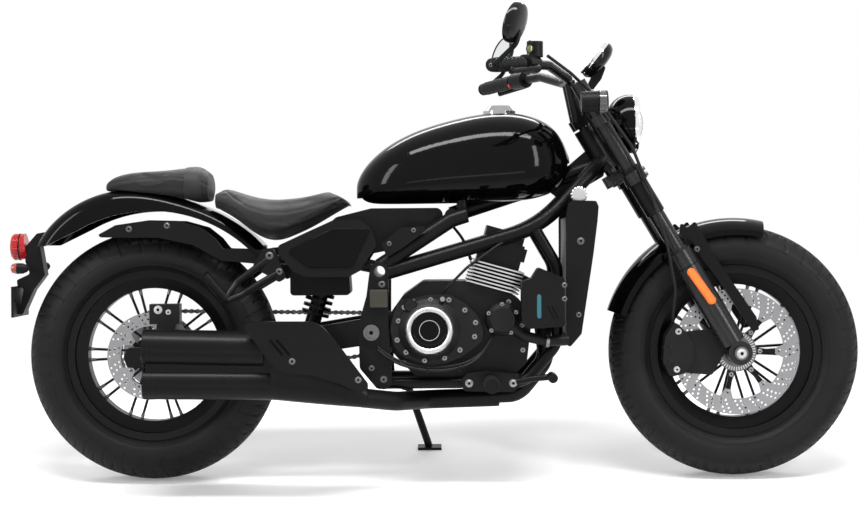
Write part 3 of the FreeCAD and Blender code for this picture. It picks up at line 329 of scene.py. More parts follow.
# Places and shapes in the upright frame, in millimetres
FROM_ROW = TO_ROW.inverted()
SPIN_TO_UP = TO_ROW.to_3x3().inverted()
STEER_UP = SPIN_TO_UP @ Vector(JOINTS["steering_turn"]["axis"])
RAKE = math.atan2(-STEER_UP.x * math.copysign(1, STEER_UP.z), abs(STEER_UP.z))
FRONT_X = WHEELBASE * 1000
AXLE_Z = TYRE_R * 1000
HEAD_Z = 786.0
LEG_Y = 105.0
SIDES = (("right", -1), ("left", 1))
TO_RIGHT = (0, -1, 0)
TO_LEFT = (0, 1, 0)
AHEAD = (1, 0, 0)


def in_row(point):
    """A point of the upright frame as a place in the row, in metres."""
    return TO_ROW @ (Vector(point) / 1000)


def upright(place):
    """A place in the row as a point of the upright frame."""
    return FROM_ROW @ place * 1000


def aimed(axis):
    """A direction of the upright frame as a unit direction in the row."""
    return (TO_ROW.to_3x3() @ Vector(axis)).normalized()


def turns(count):
    """The angles of equal steps round a circle."""
    return [2 * math.pi * i / count for i in range(count)]


def fork_at(along, ahead=0.0, y=0.0):
    """A point up the fork from the front axle, and ahead of the legs' centreline."""
    x = FRONT_X - along * math.sin(RAKE) + ahead * math.cos(RAKE)
    return Vector((x, y, AXLE_Z + along * math.cos(RAKE) + ahead * math.sin(RAKE)))


def head_at(up, ahead=0.0, y=0.0):
    """A point measured up the fork from the foot of the head tube."""
    return fork_at((HEAD_Z - AXLE_Z) / math.cos(RAKE) + up, ahead, y)


def wheel_at(x, radius, angle, y):
    """A point beside a wheel, by radius and angle about its axle."""
    return Vector((x + radius * math.cos(angle), y, AXLE_Z + radius * math.sin(angle)))


def keep(name, mesh, body, look, sharp=35.0):
    """Link a mesh as a piece that rides on a body, with its finish and smooth shading."""
    obj = bpy.data.objects.new(name, mesh)
    bpy.context.scene.collection.objects.link(obj)
    if look:
        mesh.materials.clear()
        mesh.materials.append(finish(look))
    mesh.shade_smooth()
    mesh.set_sharp_from_angle(angle=math.radians(sharp))
    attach(obj, body)
    return obj


def cleaned(mesh, distance=0.00001):
    """Merge a mesh's doubles and turn its faces outwards."""
    shell = bmesh.new()
    shell.from_mesh(mesh)
    bmesh.ops.remove_doubles(shell, verts=shell.verts, dist=distance)
    bmesh.ops.recalc_face_normals(shell, faces=shell.faces)
    shell.to_mesh(mesh)
    shell.free()


def built(name, verts, faces, body, look, sharp=35.0):
    """A piece from points in the upright frame, with its doubles merged and its faces outwards."""
    mesh = bpy.data.meshes.new(name)
    mesh.from_pydata([in_row(v) for v in verts], [], faces)
    cleaned(mesh)
    return keep(name, mesh, body, look, sharp)


def ring_faces(rows, count, closed=True):
    """Faces between rows of points that follow each other round a ring, each row open or closed."""
    faces = []
    for i in range(rows):
        here, ahead = i * count, (i + 1) % rows * count
        for j in range(count if closed else count - 1):
            faces.append((here + j, here + (j + 1) % count, ahead + (j + 1) % count, ahead + j))
    return faces


def lathed(name, profile, origin, axis, body, look, steps=64, closed=False, wave=None):
    """A piece turned about an axis, from (distance along, radius) points; wave adds to the radius."""
    axis = Vector(axis).normalized()
    side = axis.orthogonal().normalized()
    up = axis.cross(side)
    verts = []
    for angle in turns(steps):
        out = side * math.cos(angle) + up * math.sin(angle)
        for along, radius in profile:
            verts.append(Vector(origin) + axis * along + out * (radius + (wave(angle, along) if wave else 0)))
    return built(name, verts, ring_faces(steps, len(profile), closed), body, look)


def hoop(name, profile, origin, axis, body, look, steps=64):
    """A turned ring: its outline is closed and stays clear of the axis."""
    return lathed(name, profile, origin, axis, body, look, steps, closed=True)


def rounded(points, corner, steps=5):
    """A closed outline with its corners rounded to an arc."""
    ring = []
    for i, here in enumerate(points):
        here = Vector(here)
        before = (Vector(points[i - 1]) - here)
        after = (Vector(points[(i + 1) % len(points)]) - here)
        half = before.angle(after) / 2
        reach = min(corner / math.tan(half), before.length * 0.45, after.length * 0.45)
        radius = reach * math.tan(half)
        centre = here + (before.normalized() + after.normalized()).normalized() * radius / math.sin(half)
        start = here + before.normalized() * reach - centre
        end = here + after.normalized() * reach - centre
        for k in range(steps + 1):
            share = k / steps
            ring.append(centre + (start * (1 - share) + end * share).normalized() * radius)
    return ring


def slab(name, points, near, far, body, look, corner=4.0, bevel=0.6, place=None):
    """A flat plate from an outline in the side view, between two values of y, with softened edges."""
    ring = rounded(points, corner)
    if place:
        spots = [place(u, v) for u, v in ring]
        ring = [(p.x, p.z) for p in spots]
    count = len(ring)
    verts = [(x, near, z) for x, z in ring] + [(x, far, z) for x, z in ring]
    faces = [tuple(range(count)), tuple(range(2 * count - 1, count - 1, -1))]
    faces += [(i, count + i, count + (i + 1) % count, (i + 1) % count) for i in range(count)]
    obj = built(name, verts, faces, body, look)
    if bevel:
        edge = obj.modifiers.new("soft_edge", "BEVEL")
        edge.width = bevel / 1000
        edge.segments = 2
        edge.limit_method = "ANGLE"
    return obj


def pipe(name, points, radius, body, look, steps=8):
    """A bent wire, hose or rod through points of the upright frame, as a mesh."""
    curve = bpy.data.curves.new(name, "CURVE")
    curve.dimensions = "3D"
    curve.resolution_u = steps
    spline = curve.splines.new("NURBS")
    spline.points.add(len(points) - 1)
    for point, place in zip(spline.points, points):
        point.co = (*in_row(place), 1)
    spline.order_u = 3
    spline.use_endpoint_u = True
    curve.bevel_depth = radius / 1000
    curve.bevel_resolution = 3
    curve.use_fill_caps = True
    return keep(name, as_mesh(bpy.data.objects.new(name + "_line", curve)), body, look)


def as_mesh(source):
    """The evaluated source as a plain mesh of its own; the source goes."""
    bpy.context.scene.collection.objects.link(source)
    graph = bpy.context.evaluated_depsgraph_get()
    graph.update()
    mesh = bpy.data.meshes.new_from_object(source.evaluated_get(graph), depsgraph=graph)
    bpy.data.objects.remove(source)
    return mesh


def turn_to(axis, across=None):
    """Rotation that points z along an axis, and x across where that is given."""
    z = aimed(axis)
    x = aimed(across) if across is not None else z.orthogonal().normalized()
    y = z.cross(x).normalized()
    x = y.cross(z)
    return Matrix((x, y, z)).transposed().to_euler()


# Geometry node trees for what repeats
def new_tree(name, inputs):
    shape = ("Geometry", "Geometry")
    return new_group(name, "GeometryNodeTree", [(*shape, None), *inputs], [shape])


def form(tree, kind, height=0.0, across=0.0, **values):
    """A primitive of the tree, lifted to a height and shifted across."""
    settings = {"fill_type": "NGON"} if kind == "GeometryNodeMeshCircle" else None
    shape = add(tree.nodes, kind, settings, **values)
    moved = add(tree.nodes, "GeometryNodeTransform", Translation=(across, 0, height))
    wire(tree.links, (shape, "Mesh", moved, "Geometry"))
    return shape, moved


def joined(tree, shapes):
    """The shapes as one geometry."""
    one = add(tree.nodes, "GeometryNodeJoinGeometry")
    wire(tree.links, *[(shape, "Geometry", one, "Geometry") for shape in shapes])
    return one


def painted(tree, shape, start, label):
    """A shape with the material from one of the tree's inputs."""
    paint = add(tree.nodes, "GeometryNodeSetMaterial")
    wire(tree.links, (shape, "Geometry", paint, "Geometry"), (start, label, paint, "Material"))
    return paint


def set_on_points(tree, start, end, shape):
    """Set the shape on the points by their turn and size, and make it real."""
    spread = add(tree.nodes, "GeometryNodeInstanceOnPoints")
    for label, target in (("turn", "Rotation"), ("size", "Scale")):
        read = add(tree.nodes, "GeometryNodeInputNamedAttribute", {"data_type": "FLOAT_VECTOR"}, Name=label)
        wire(tree.links, (read, "Attribute", spread, target))
    real = add(tree.nodes, "GeometryNodeRealizeInstances")
    wire(
        tree.links, (start, "Geometry", spread, "Points"), (shape, "Geometry", spread, "Instance"),
        (spread, "Instances", real, "Geometry"), (real, "Geometry", end, "Geometry"),
    )
    return tree


@shared("screws")
def screw_tree(name):
    """A washer, a head with a chamfer, and on its top a flat near-black hexagon, painted shade where the socket's
    hollow would be.
    """
    tree, start, end = new_tree(name, [
        ("Sides", "Int", 20), ("Socket", "Float", 0.5), ("Washer", "Float", 1.25),
        ("Head finish", "Material", None), ("Socket shade", "Material", None),
    ])
    washer, washer_out = form(tree, "GeometryNodeMeshCylinder", 0.07, Vertices=20, Depth=0.14)
    head, head_out = form(tree, "GeometryNodeMeshCylinder", 0.40, Radius=1.0, Depth=0.80)
    edge, edge_out = form(tree, "GeometryNodeMeshCone", 0.80, Radius_Top=0.84, Radius_Bottom=1.0, Depth=0.20)
    # The socket is a flat hexagon just over the head top, in near-black: painted shade, not a hollow
    shade_disc, shade_disc_out = form(tree, "GeometryNodeMeshCircle", 1.01, Vertices=6)
    wire(
        tree.links, (start, "Washer", washer, "Radius"), (start, "Sides", head, "Vertices"),
        (start, "Sides", edge, "Vertices"), (start, "Socket", shade_disc, "Radius"),
    )
    body = painted(tree, joined(tree, (washer_out, head_out, edge_out)), start, "Head finish")
    socket_shade = painted(tree, shade_disc_out, start, "Socket shade")
    return set_on_points(tree, start, end, joined(tree, (body, socket_shade)))


@shared("ribs")
def rib_tree(name):
    """Thin bars, ribs, stitches and marks, each a block with the size of its point."""
    tree, start, end = new_tree(name, [("Finish", "Material", None)])
    block = form(tree, "GeometryNodeMeshCube", Size=(1, 1, 1))[1]
    return set_on_points(tree, start, end, painted(tree, block, start, "Finish"))


@shared("chain_links")
def link_tree(name):
    """One chain link: two waisted plates with their rollers and pin ends, a pitch long and one unit wide."""
    tree, start, end = new_tree(name, [("Plate finish", "Material", None)])
    shapes = []
    for side in (-0.5, 0.5):
        shapes.append(form(tree, "GeometryNodeMeshCube", side, Size=(0.8, 0.55, 0.11))[1])
        for x in (-0.5, 0.5):
            for height, sides, radius, depth in ((side, 14, 0.44, 0.11), (side * 1.14, 8, 0.16, 0.08)):
                shapes.append(form(
                    tree, "GeometryNodeMeshCylinder", height, x, Vertices=sides, Radius=radius, Depth=depth,
                )[1])
    shapes.append(form(tree, "GeometryNodeMeshCylinder", 0, 0.5, Vertices=12, Radius=0.30, Depth=0.95)[1])
    return set_on_points(tree, start, end, painted(tree, joined(tree, shapes), start, "Plate finish"))


def repeated(name, tree, places, body, values, sharp=30.0):
    """The tree's shape at each place: (point, rotation, size in millimetres), as one piece."""
    cloud = bpy.data.meshes.new(name + "_points")
    cloud.from_pydata([in_row(point) for point, turn, size in places], [], [])
    angles = cloud.attributes.new("turn", "FLOAT_VECTOR", "POINT")
    sizes = cloud.attributes.new("size", "FLOAT_VECTOR", "POINT")
    for i, (point, turn, size) in enumerate(places):
        angles.data[i].vector = turn
        sizes.data[i].vector = Vector(size) / 1000
    source = bpy.data.objects.new(name + "_points", cloud)
    modifier = source.modifiers.new("spread", "NODES")
    modifier.node_group = tree
    for item in tree.interface.items_tree:
        if item.item_type == "SOCKET" and item.in_out == "INPUT" and item.name in values:
            modifier[item.identifier] = values[item.name]
    mesh = as_mesh(source)
    for attribute in ("turn", "size"):
        if attribute in mesh.attributes:
            mesh.attributes.remove(mesh.attributes[attribute])
    return keep(name, mesh, body, None, sharp)


SKINS = {}


def skin(body):
    """The CAD surfaces of a body, on which its small pieces stand."""
    if body not in SKINS:
        verts, faces = [], []
        for name in frame["record"]["behaviour"]["bodies"][body]:
            mesh = frame["nodes"][name].data
            first = len(verts)
            verts += [v.co.copy() for v in mesh.vertices]
            faces += [[first + i for i in p.vertices] for p in mesh.polygons]
        SKINS[body] = BVHTree.FromPolygons(verts, faces)
    return SKINS[body]


def seated(point, axis, body, reach):
    """The point moved along its axis onto the outermost surface within reach, or None where there is none."""
    out = aimed(axis)
    start = in_row(point) + out * (reach / 1000)
    hit = skin(body).ray_cast(start, -out, 2 * reach / 1000)[0]
    return upright(hit) if hit else None


def screws(name, places, body, look, sides=20, socket=0.5, washer=1.25, reach=12.0):
    """Screws at (point, axis, head radius, head height) places, each seated on the CAD surface under it."""
    spots = []
    for point, axis, radius, height in places:
        seat = seated(point, axis, body, reach) if reach else Vector(point)
        if seat:
            spots.append((seat, turn_to(axis), (radius, radius, height)))
    if spots:
        # The socket gets the near-black finish: painted shade in place of its hollow
        values = {
            "Sides": sides, "Socket": socket, "Washer": washer, "Head finish": finish(look),
            "Socket shade": finish("shade_and_seam_black"),
        }
        repeated(name, screw_tree(), spots, body, values)


def side_screws(name, side, spots, body, look, sides=20, socket=0.5, washer=1.25, reach=12.0):
    """Screws on one side that point outwards, at (x, distance out, z, head radius, head height) spots."""
    label, s = side
    places = [((x, s * y, z), (0, s, 0), radius, height) for x, y, z, radius, height in spots]
    screws(f"{name}_{label}", places, body, look, sides, socket, washer, reach)


def ribs(name, places, body, look):
    """Blocks at (point, z axis, x axis, size) places."""
    spots = [(point, turn_to(axis, across), size) for point, axis, across, size in places]
    return repeated(name, rib_tree(), spots, body, {"Finish": finish(look)})


# Smooth shading of the frame
@shared("smooth_between_edges")
def smooth_tree(name):
    """Merges a CAD node's loose triangles and shades it smooth between its sharp edges."""
    tree, start, end = new_tree(name, [("Angle", "Float", math.radians(32))])
    nodes = tree.nodes
    bare = add(nodes, "GeometryNodeRemoveAttribute", Name="custom_normal")
    merge = add(nodes, "GeometryNodeMergeByDistance", Distance=0.00002)
    faces = add(nodes, "GeometryNodeSetShadeSmooth", {"domain": "FACE"}, Shade_Smooth=True)
    edges = add(nodes, "GeometryNodeSetShadeSmooth", {"domain": "EDGE"}, Shade_Smooth=False)
    bend = add(nodes, "GeometryNodeInputMeshEdgeAngle")
    compare = add(nodes, "FunctionNodeCompare", {"data_type": "FLOAT", "operation": "GREATER_THAN"})
    wire(
        tree.links, (start, "Geometry", bare, "Geometry"), (bare, "Geometry", merge, "Geometry"),
        (merge, "Geometry", faces, "Geometry"), (faces, "Geometry", edges, "Geometry"),
        (bend, "Unsigned Angle", compare, "A"), (start, "Angle", compare, "B"),
        (compare, "Result", edges, "Selection"), (edges, "Geometry", end, "Geometry"),
    )
    return tree


NODE_FINISH = {
    "gloss_black": ["fuel_tank", "rear_fender", "front_fender", "headlamp"],
    "satin_black": [
        "main_frame", "lower_cradle", "cross_tube", "swingarm", "handlebar", "silencer", "silencer_guard",
        "exhaust_pipes", "fender_struts", "fender_braces", "front_rim", "rear_rim", "side_stand",
        "rider_footpegs", "passenger_footpegs", "mirrors", "rear_shock",
    ],
    "fork_black": ["triple_clamps", "fork_sliders", "fork_tubes"],
    "cast_black": [
        "engine_case", "engine_covers", "cylinder_block", "coolant_pump", "front_caliper", "rear_caliper",
    ],
    "plastic_black": [
        "side_covers", "air_box", "under_seat_box", "plate_carrier", "radiator_shrouds", "reservoir_box",
        "controls", "instrument", "radiator", "front_signals", "rear_signals",
    ],
    "seat_cover": ["rider_seat", "passenger_seat"],
    "tyre_rubber": ["front_tyre", "rear_tyre"],
    "grip_rubber": ["grips", "front_hoses", "clutch_cable"],
    "steel": ["front_disc", "rear_disc", "rear_sprocket"],
    "dark_steel": ["front_axle", "axle_bolts", "drive_chain"],
    "silver_cast": ["radiator_cap"],
    "polished_cap": ["fuel_cap"],
    "clear_lens": ["headlamp_lens"],
    "red_lens": ["tail_lamp"],
    "amber_lens": ["fork_reflectors"],
}


class FrameFinish(bpy.types.Operator):
    """Give every carried-over CAD node its finish and smooth shading"""

    bl_idname = "motorcycle.frame_finish"
    bl_label = "Finish the frame nodes"

    def execute(self, context):
        for look, names in NODE_FINISH.items():
            for name in names:
                node = frame["nodes"].get(name)
                if node is None:
                    continue
                node.data.materials.clear()
                node.data.materials.append(finish(look))
                node.modifiers.new("smooth", "NODES").node_group = smooth_tree()
        return {"FINISHED"}


# Seats
RIDER_SEAM = [(184, 743), (214, 719), (252, 696), (297, 682), (348, 681), (392, 690), (437, 705), (478, 717)]
PILLION_SEAM = [(-104, 756), (-60, 764), (0, 770), (60, 771), (120, 764), (146, 752)]


def line_height(points, x):
    """Height of a line through points at x, or None beyond its ends."""
    for (x0, z0), (x1, z1) in zip(points, points[1:]):
        if x0 <= x <= x1:
            return z0 + (z1 - z0) * (x - x0) / (x1 - x0)
    return None


def filled_pad(name, node_name, cap):
    """A swollen, softened copy of a seat's solid, made by a short cloth simulation under pressure."""
    mesh = frame["nodes"][node_name].data.copy()
    cleaned(mesh, 0.00005)
    source = bpy.data.objects.new(name + "_start", mesh)
    grid = source.modifiers.new("even_grid", "REMESH")
    grid.mode = "VOXEL"
    grid.voxel_size = 0.0055
    mesh = as_mesh(source)
    for vertex, normal in zip(mesh.vertices, [v.normal.copy() for v in mesh.vertices]):
        vertex.co -= normal * 0.003
    start = [v.co.copy() for v in mesh.vertices]
    pad = bpy.data.objects.new(name + "_filling", mesh)
    bpy.context.scene.collection.objects.link(pad)
    cloth = pad.modifiers.new("filling", "CLOTH")
    cloth.settings.use_pressure = True
    cloth.settings.uniform_pressure_force = 4.0
    cloth.settings.effector_weights.gravity = 0.0
    for step in range(1, 21):
        bpy.context.scene.frame_set(step)
    graph = bpy.context.evaluated_depsgraph_get()
    moved = [v.co.copy() for v in pad.evaluated_get(graph).data.vertices]
    bpy.context.scene.frame_set(1)
    normals = [v.normal.copy() for v in mesh.vertices]
    pad.modifiers.clear()
    for vertex, old, new, normal in zip(mesh.vertices, start, moved, normals):
        push = new - old
        if push.length > cap:
            push *= cap / push.length
        free = min(1.0, max(0.0, (normal.z + 0.75) / 0.5))
        vertex.co = old + push * free
    bpy.data.objects.remove(pad)
    fine = bpy.data.objects.new(name + "_fine", mesh)
    smooth = fine.modifiers.new("fine", "SUBSURF")
    smooth.levels = smooth.render_levels = 1
    return as_mesh(fine)


def press_seam(mesh, points, depth, width):
    """Press a narrow groove into both sides of a pad along a line in the side view."""
    for vertex, normal in zip(mesh.vertices, [v.normal.copy() for v in mesh.vertices]):
        place = upright(vertex.co)
        height = line_height(points, place.x)
        if height is None or abs(place.y) < 30:
            continue
        gap = abs(place.z - height) / width
        if gap < 1:
            vertex.co -= normal * (depth / 1000) * (1 + math.cos(math.pi * gap)) / 2


def surface_of(mesh):
    return BVHTree.FromPolygons([v.co for v in mesh.vertices], [p.vertices for p in mesh.polygons])


def seam_stitches(name, mesh, points, lift, look):
    """Short threads along a line on both sides of a pad."""
    surface = surface_of(mesh)
    places = []
    for side in (-1, 1):
        x = points[0][0] + 2.0
        while x < points[-1][0] - 4:
            a = (x, side * 320, line_height(points, x) + lift)
            b = (x + 3.4, side * 320, line_height(points, x + 3.4) + lift)
            hits = [surface.ray_cast(in_row(p), aimed((0, -side, 0))) for p in (a, b)]
            if all(hit[0] is not None for hit in hits):
                first, last = [upright(hit[0]) for hit in hits]
                normal = SPIN_TO_UP @ hits[0][1]
                middle = (first + last) / 2 + normal * 0.15
                places.append((middle, normal, last - first, ((last - first).length, 0.7, 0.6)))
            x += 5.2
    return ribs(name, places, "chassis", look)


def pillion_strap(mesh):
    """The flat strap over the passenger's pad, with a folded edge on each side."""
    surface = surface_of(mesh)
    rows = []
    for x in (86.0, 88.0, 96.0, 108.0, 120.0, 128.0, 130.0):
        row = []
        for step in range(41):
            angle = math.radians(-22 + 224 * step / 40)
            out = Vector((0, -math.cos(angle), math.sin(angle)))
            middle = Vector((x, 0, 752))
            hit = surface.ray_cast(in_row(middle + out * 260), aimed(-out))[0]
            point = upright(hit) if hit else middle + out * 90
            row.append((point, out))
        rows.append(row)
    verts, faces = [], []
    lifts = (-2.0, 2.2, 2.6, 2.6, 2.6, 2.2, -2.0)
    for row, lift in zip(rows, lifts):
        verts += [point + out * lift for point, out in row]
    for row in rows:
        verts += [point - out * 3.0 for point, out in row]
    count, across = 41, len(rows)
    for layer in (0, across * count):
        for i in range(across - 1):
            for j in range(count - 1):
                a = layer + i * count + j
                faces.append((a, a + 1, a + count + 1, a + count))
    last = (across - 1) * count
    for j in range(count - 1):
        faces.append((j, j + 1, across * count + j + 1, across * count + j))
        faces.append((last + j, last + j + 1, across * count + last + j + 1, across * count + last + j))
    for i in range(across - 1):
        for j in (0, count - 1):
            a = i * count + j
            faces.append((a, a + count, across * count + a + count, across * count + a))
    return built("pillion_strap", verts, faces, "chassis", "strap_cover", 50)


class Seats(bpy.types.Operator):
    """Fill both seats, press their seams, and lay the strap over the passenger's pad"""

    bl_idname = "motorcycle.seats"
    bl_label = "Make the seats"

    def execute(self, context):
        rider = filled_pad("rider_pad", "rider_seat", 0.007)
        press_seam(rider, RIDER_SEAM, 2.2, 5.5)
        pillion = filled_pad("pillion_pad", "passenger_seat", 0.006)
        press_seam(pillion, PILLION_SEAM, 1.8, 5.0)
        seam_stitches("rider_seat_stitches", rider, RIDER_SEAM, -6.5, "thread")
        seam_stitches("pillion_stitches", pillion, PILLION_SEAM, -6.5, "thread")
        pillion_strap(pillion)
        pads = ((rider, "rider_pad", "rider_seat"), (pillion, "pillion_pad", "passenger_seat"))
        for mesh, name, node in pads:
            pad = keep(name, mesh, "chassis", "seat_cover", 60)
            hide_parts(node)
        return {"FINISHED"}


# Wheels
TREAD_R = 320.0
CROWN_CURVE = 75.0
BEAD_R = 219.0
FOOT_R = 206.0
TREAD_STEPS = 1080
NIPPLE_R = 171
# Label, place along, body, flange radius
HUBS = (("front", FRONT_X, "front_wheel", 48), ("rear", 0.0, "rear_wheel", 52))
# Label, place along, body, place across, reach and arms of the carrier, width of the drilled ring, hub radius
DISCS = (
    ("front", FRONT_X, "front_wheel", -64.5, 107, 7, 40, 34),
    ("rear", 0.0, "rear_wheel", -90.5, 63, 5, 34, 26),
)


def arc_through(a, b, c, count):
    """Points on the arc through three points, its ends included."""
    (ax, ay), (bx, by), (cx, cy) = a, b, c
    d = 2 * (ax * (by - cy) + bx * (cy - ay) + cx * (ay - by))
    a2, b2, c2 = ax ** 2 + ay ** 2, bx ** 2 + by ** 2, cx ** 2 + cy ** 2
    ux = (a2 * (by - cy) + b2 * (cy - ay) + c2 * (ay - by)) / d
    uy = (a2 * (cx - bx) + b2 * (ax - cx) + c2 * (bx - ax)) / d
    radius = math.hypot(ax - ux, ay - uy)
    start = math.atan2(ay - uy, ax - ux)
    sweep = (math.atan2(cy - uy, cx - ux) - start + math.pi) % (2 * math.pi) - math.pi
    angles = [start + sweep * i / (count - 1) for i in range(count)]
    return [(ux + radius * math.cos(t), uy + radius * math.sin(t)) for t in angles]


def tread_cut(pitch, across):
    """How deep the tread is cut, 0 to 1, at a place in pitches round the tyre and from -1 to 1 across it."""
    side = 0.0 if across < 0 else 0.5
    out = abs(across)
    bend = 0.34 * out + (0.16 if out > 0.52 else 0.0)
    wide = 0.060 + 0.03 * out
    long_groove = abs((pitch + side + bend) % 1.0 - 0.5) < wide and out > 0.16
    short_groove = abs((pitch + side + bend + 0.5) % 1.0 - 0.5) < wide * 0.8 and 0.40 < out < 0.86
    wave = 0.10 * (abs((pitch * 2) % 2.0 - 1.0) - 0.5)
    centre = abs(across - wave) < 0.045
    link = abs((pitch + side) % 1.0 - 0.5) < 0.05 and 0.46 < out < 0.60
    return 1.0 if long_groove or short_groove or centre or link else 0.0


def tyre_piece(name, x, width, body):
    """A hollow tyre with its tread cut in, and raised lines on both side walls."""
    look = bpy.context.scene.motorcycle_tyres
    half = width / 2
    foot_y = half * 0.66
    shoulder_y = half * 0.93
    shoulder_r = TREAD_R - CROWN_CURVE + math.sqrt(CROWN_CURVE ** 2 - shoulder_y ** 2)
    flank = (half, (shoulder_r + BEAD_R) / 2)
    side = arc_through((foot_y, BEAD_R), flank, (shoulder_y, shoulder_r), 12)
    crown = arc_through((shoulder_y, shoulder_r), (0, TREAD_R), (-shoulder_y, shoulder_r), 33)
    foot = [
        (-foot_y, FOOT_R), (11 - foot_y, FOOT_R), (11 - foot_y, BEAD_R), (12 - half, 270),
        (14 - shoulder_y, shoulder_r - 12),
    ]
    profile = side[:-1] + crown + [(-y, r) for y, r in reversed(side)][1:]
    profile += foot + [(0, TREAD_R - 12)] + [(-y, r) for y, r in reversed(foot)]
    first, last = len(side) - 3, len(side) + len(crown) + 1
    depth = look.groove_depth * 1000
    verts = []
    for i, angle in enumerate(turns(TREAD_STEPS)):
        c, s = math.cos(angle), math.sin(angle)
        pitch = look.pitches * i / TREAD_STEPS
        for j, (y, r) in enumerate(profile):
            cut = 0.0
            if first <= j <= last:
                cut = tread_cut(pitch, max(-1.04, min(1.04, y / shoulder_y))) * depth
            verts.append((x + (r - cut) * c, y, AXLE_Z + (r - cut) * s))
    tyre = built(name, verts, ring_faces(TREAD_STEPS, len(profile)), body, "tyre_rubber", 28)
    for number, share in enumerate((0.10, 0.30, 0.36, 0.84)):
        index = share * (len(side) - 1)
        low = int(index)
        (y0, r0), (y1, r1) = side[low], side[low + 1]
        y = y0 + (y1 - y0) * (index - low)
        r = r0 + (r1 - r0) * (index - low)
        raised = ((-1.5, -1.6), (0.5, -0.9), (0.5, 0.9), (-1.5, 1.6))
        for label, s in SIDES:
            line = [(s * (y + out), r + up) for out, up in raised]
            hoop(f"{name}_line_{number}_{label}", line, (x, 0, AXLE_Z), TO_LEFT, body, "tyre_rubber", 160)
    return tyre


class Tyres(bpy.types.Operator):
    """Make both tyres with their tread grooves and side lines"""

    bl_idname = "motorcycle.tyres"
    bl_label = "Make the tyres"

    def execute(self, context):
        look = context.scene.motorcycle_tyres
        front = tyre_piece("front_tread", FRONT_X, look.front_width * 1000, "front_wheel")
        rear = tyre_piece("rear_tread", 0.0, look.rear_width * 1000, "rear_wheel")
        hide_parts("front_tyre")
        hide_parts("rear_tyre")
        return {"FINISHED"}


def ring_of(centre, radius, count):
    """Points round a circle in the side view."""
    return [(centre[0] + radius * math.cos(t), centre[1] + radius * math.sin(t)) for t in turns(count)]


def cut_sheet(name, outlines, near, far, body, look):
    """A flat sheet in the side view with its holes cut, from its outer outline and the outlines inside it."""
    curve = bpy.data.curves.new(name, "CURVE")
    curve.dimensions = "2D"
    curve.fill_mode = "BOTH"
    curve.extrude = abs(far - near) / 2000
    for points in outlines:
        spline = curve.splines.new("POLY")
        spline.points.add(len(points) - 1)
        for point, (x, z) in zip(spline.points, points):
            point.co = (x / 1000, z / 1000, 0, 1)
        spline.use_cyclic_u = True
    mesh = as_mesh(bpy.data.objects.new(name + "_line", curve))
    middle = (near + far) / 2000
    mesh.transform(TO_ROW @ Matrix.Translation((0, middle, 0)) @ Matrix.Rotation(math.radians(90), 4, "X"))
    cleaned(mesh)
    return keep(name, mesh, body, look)


def drilled_disc(name, x, y, radius, inner, tabs, body):
    """A brake disc with rows of holes, and tabs inwards where its carrier's arms end."""
    edge = []
    for angle in turns(360):
        off = ((angle * tabs / (2 * math.pi) + 0.5) % 1.0 - 0.5) * 2 * math.pi / tabs * (inner - 12)
        dip = 22.0 * min(1.0, max(0.0, (15.0 - abs(off)) / 7.0))
        edge.append((x + (inner - dip) * math.cos(angle), AXLE_Z + (inner - dip) * math.sin(angle)))
    outlines = [ring_of((x, AXLE_Z), radius, 180), edge]
    rows = 4 if radius - inner > 36 else 3
    count = round(radius * 0.26)
    for i in range(count):
        for row in range(rows):
            angle = 2 * math.pi * (i + 0.26 * row + 0.3 * (i % 2)) / count
            distance = inner + 6.5 + (radius - inner - 12) * row / (rows - 1)
            hole = (x + distance * math.cos(angle), AXLE_Z + distance * math.sin(angle))
            outlines.append(ring_of(hole, 2.9, 10))
    return cut_sheet(name, outlines, y - 2.5, y + 2.5, body, "steel")


def disc_carrier(name, x, y, hub_r, reach, arms, body):
    """The black spider that holds a disc: a ring on the hub with an arm to each tab."""
    ring = [(y + 0.2, hub_r), (y + 0.2, hub_r + 13), (y + 5.2, hub_r + 15), (y + 5.2, hub_r)]
    hoop(f"{name}_ring", ring, (x, 0, AXLE_Z), TO_LEFT, body, "satin_black", 96)
    outline = [
        (hub_r + 8, -11), (reach * 0.72, -5.5), (reach + 8, -8.5), (reach + 8, 8.5), (reach * 0.72, 5.5),
        (hub_r + 8, 11),
    ]
    for i, angle in enumerate(turns(arms)):
        c, s = math.cos(angle), math.sin(angle)

        def place(u, v, c=c, s=s):
            return Vector((x + u * c - v * s, 0, AXLE_Z + u * s + v * c))

        slab(f"{name}_arm_{i}", outline, y + 0.1, y + 5.1, body, "satin_black", 4, 0.6, place=place)


def bolt_circle(name, x, radius, y, count, body, head, height):
    """Bolts round an axle, with their heads to the right."""
    bolts = [(wheel_at(x, radius, angle, y), TO_RIGHT, head, height) for angle in turns(count)]
    screws(name, bolts, body, "steel", 20, 0.45, 1.3, reach=0)


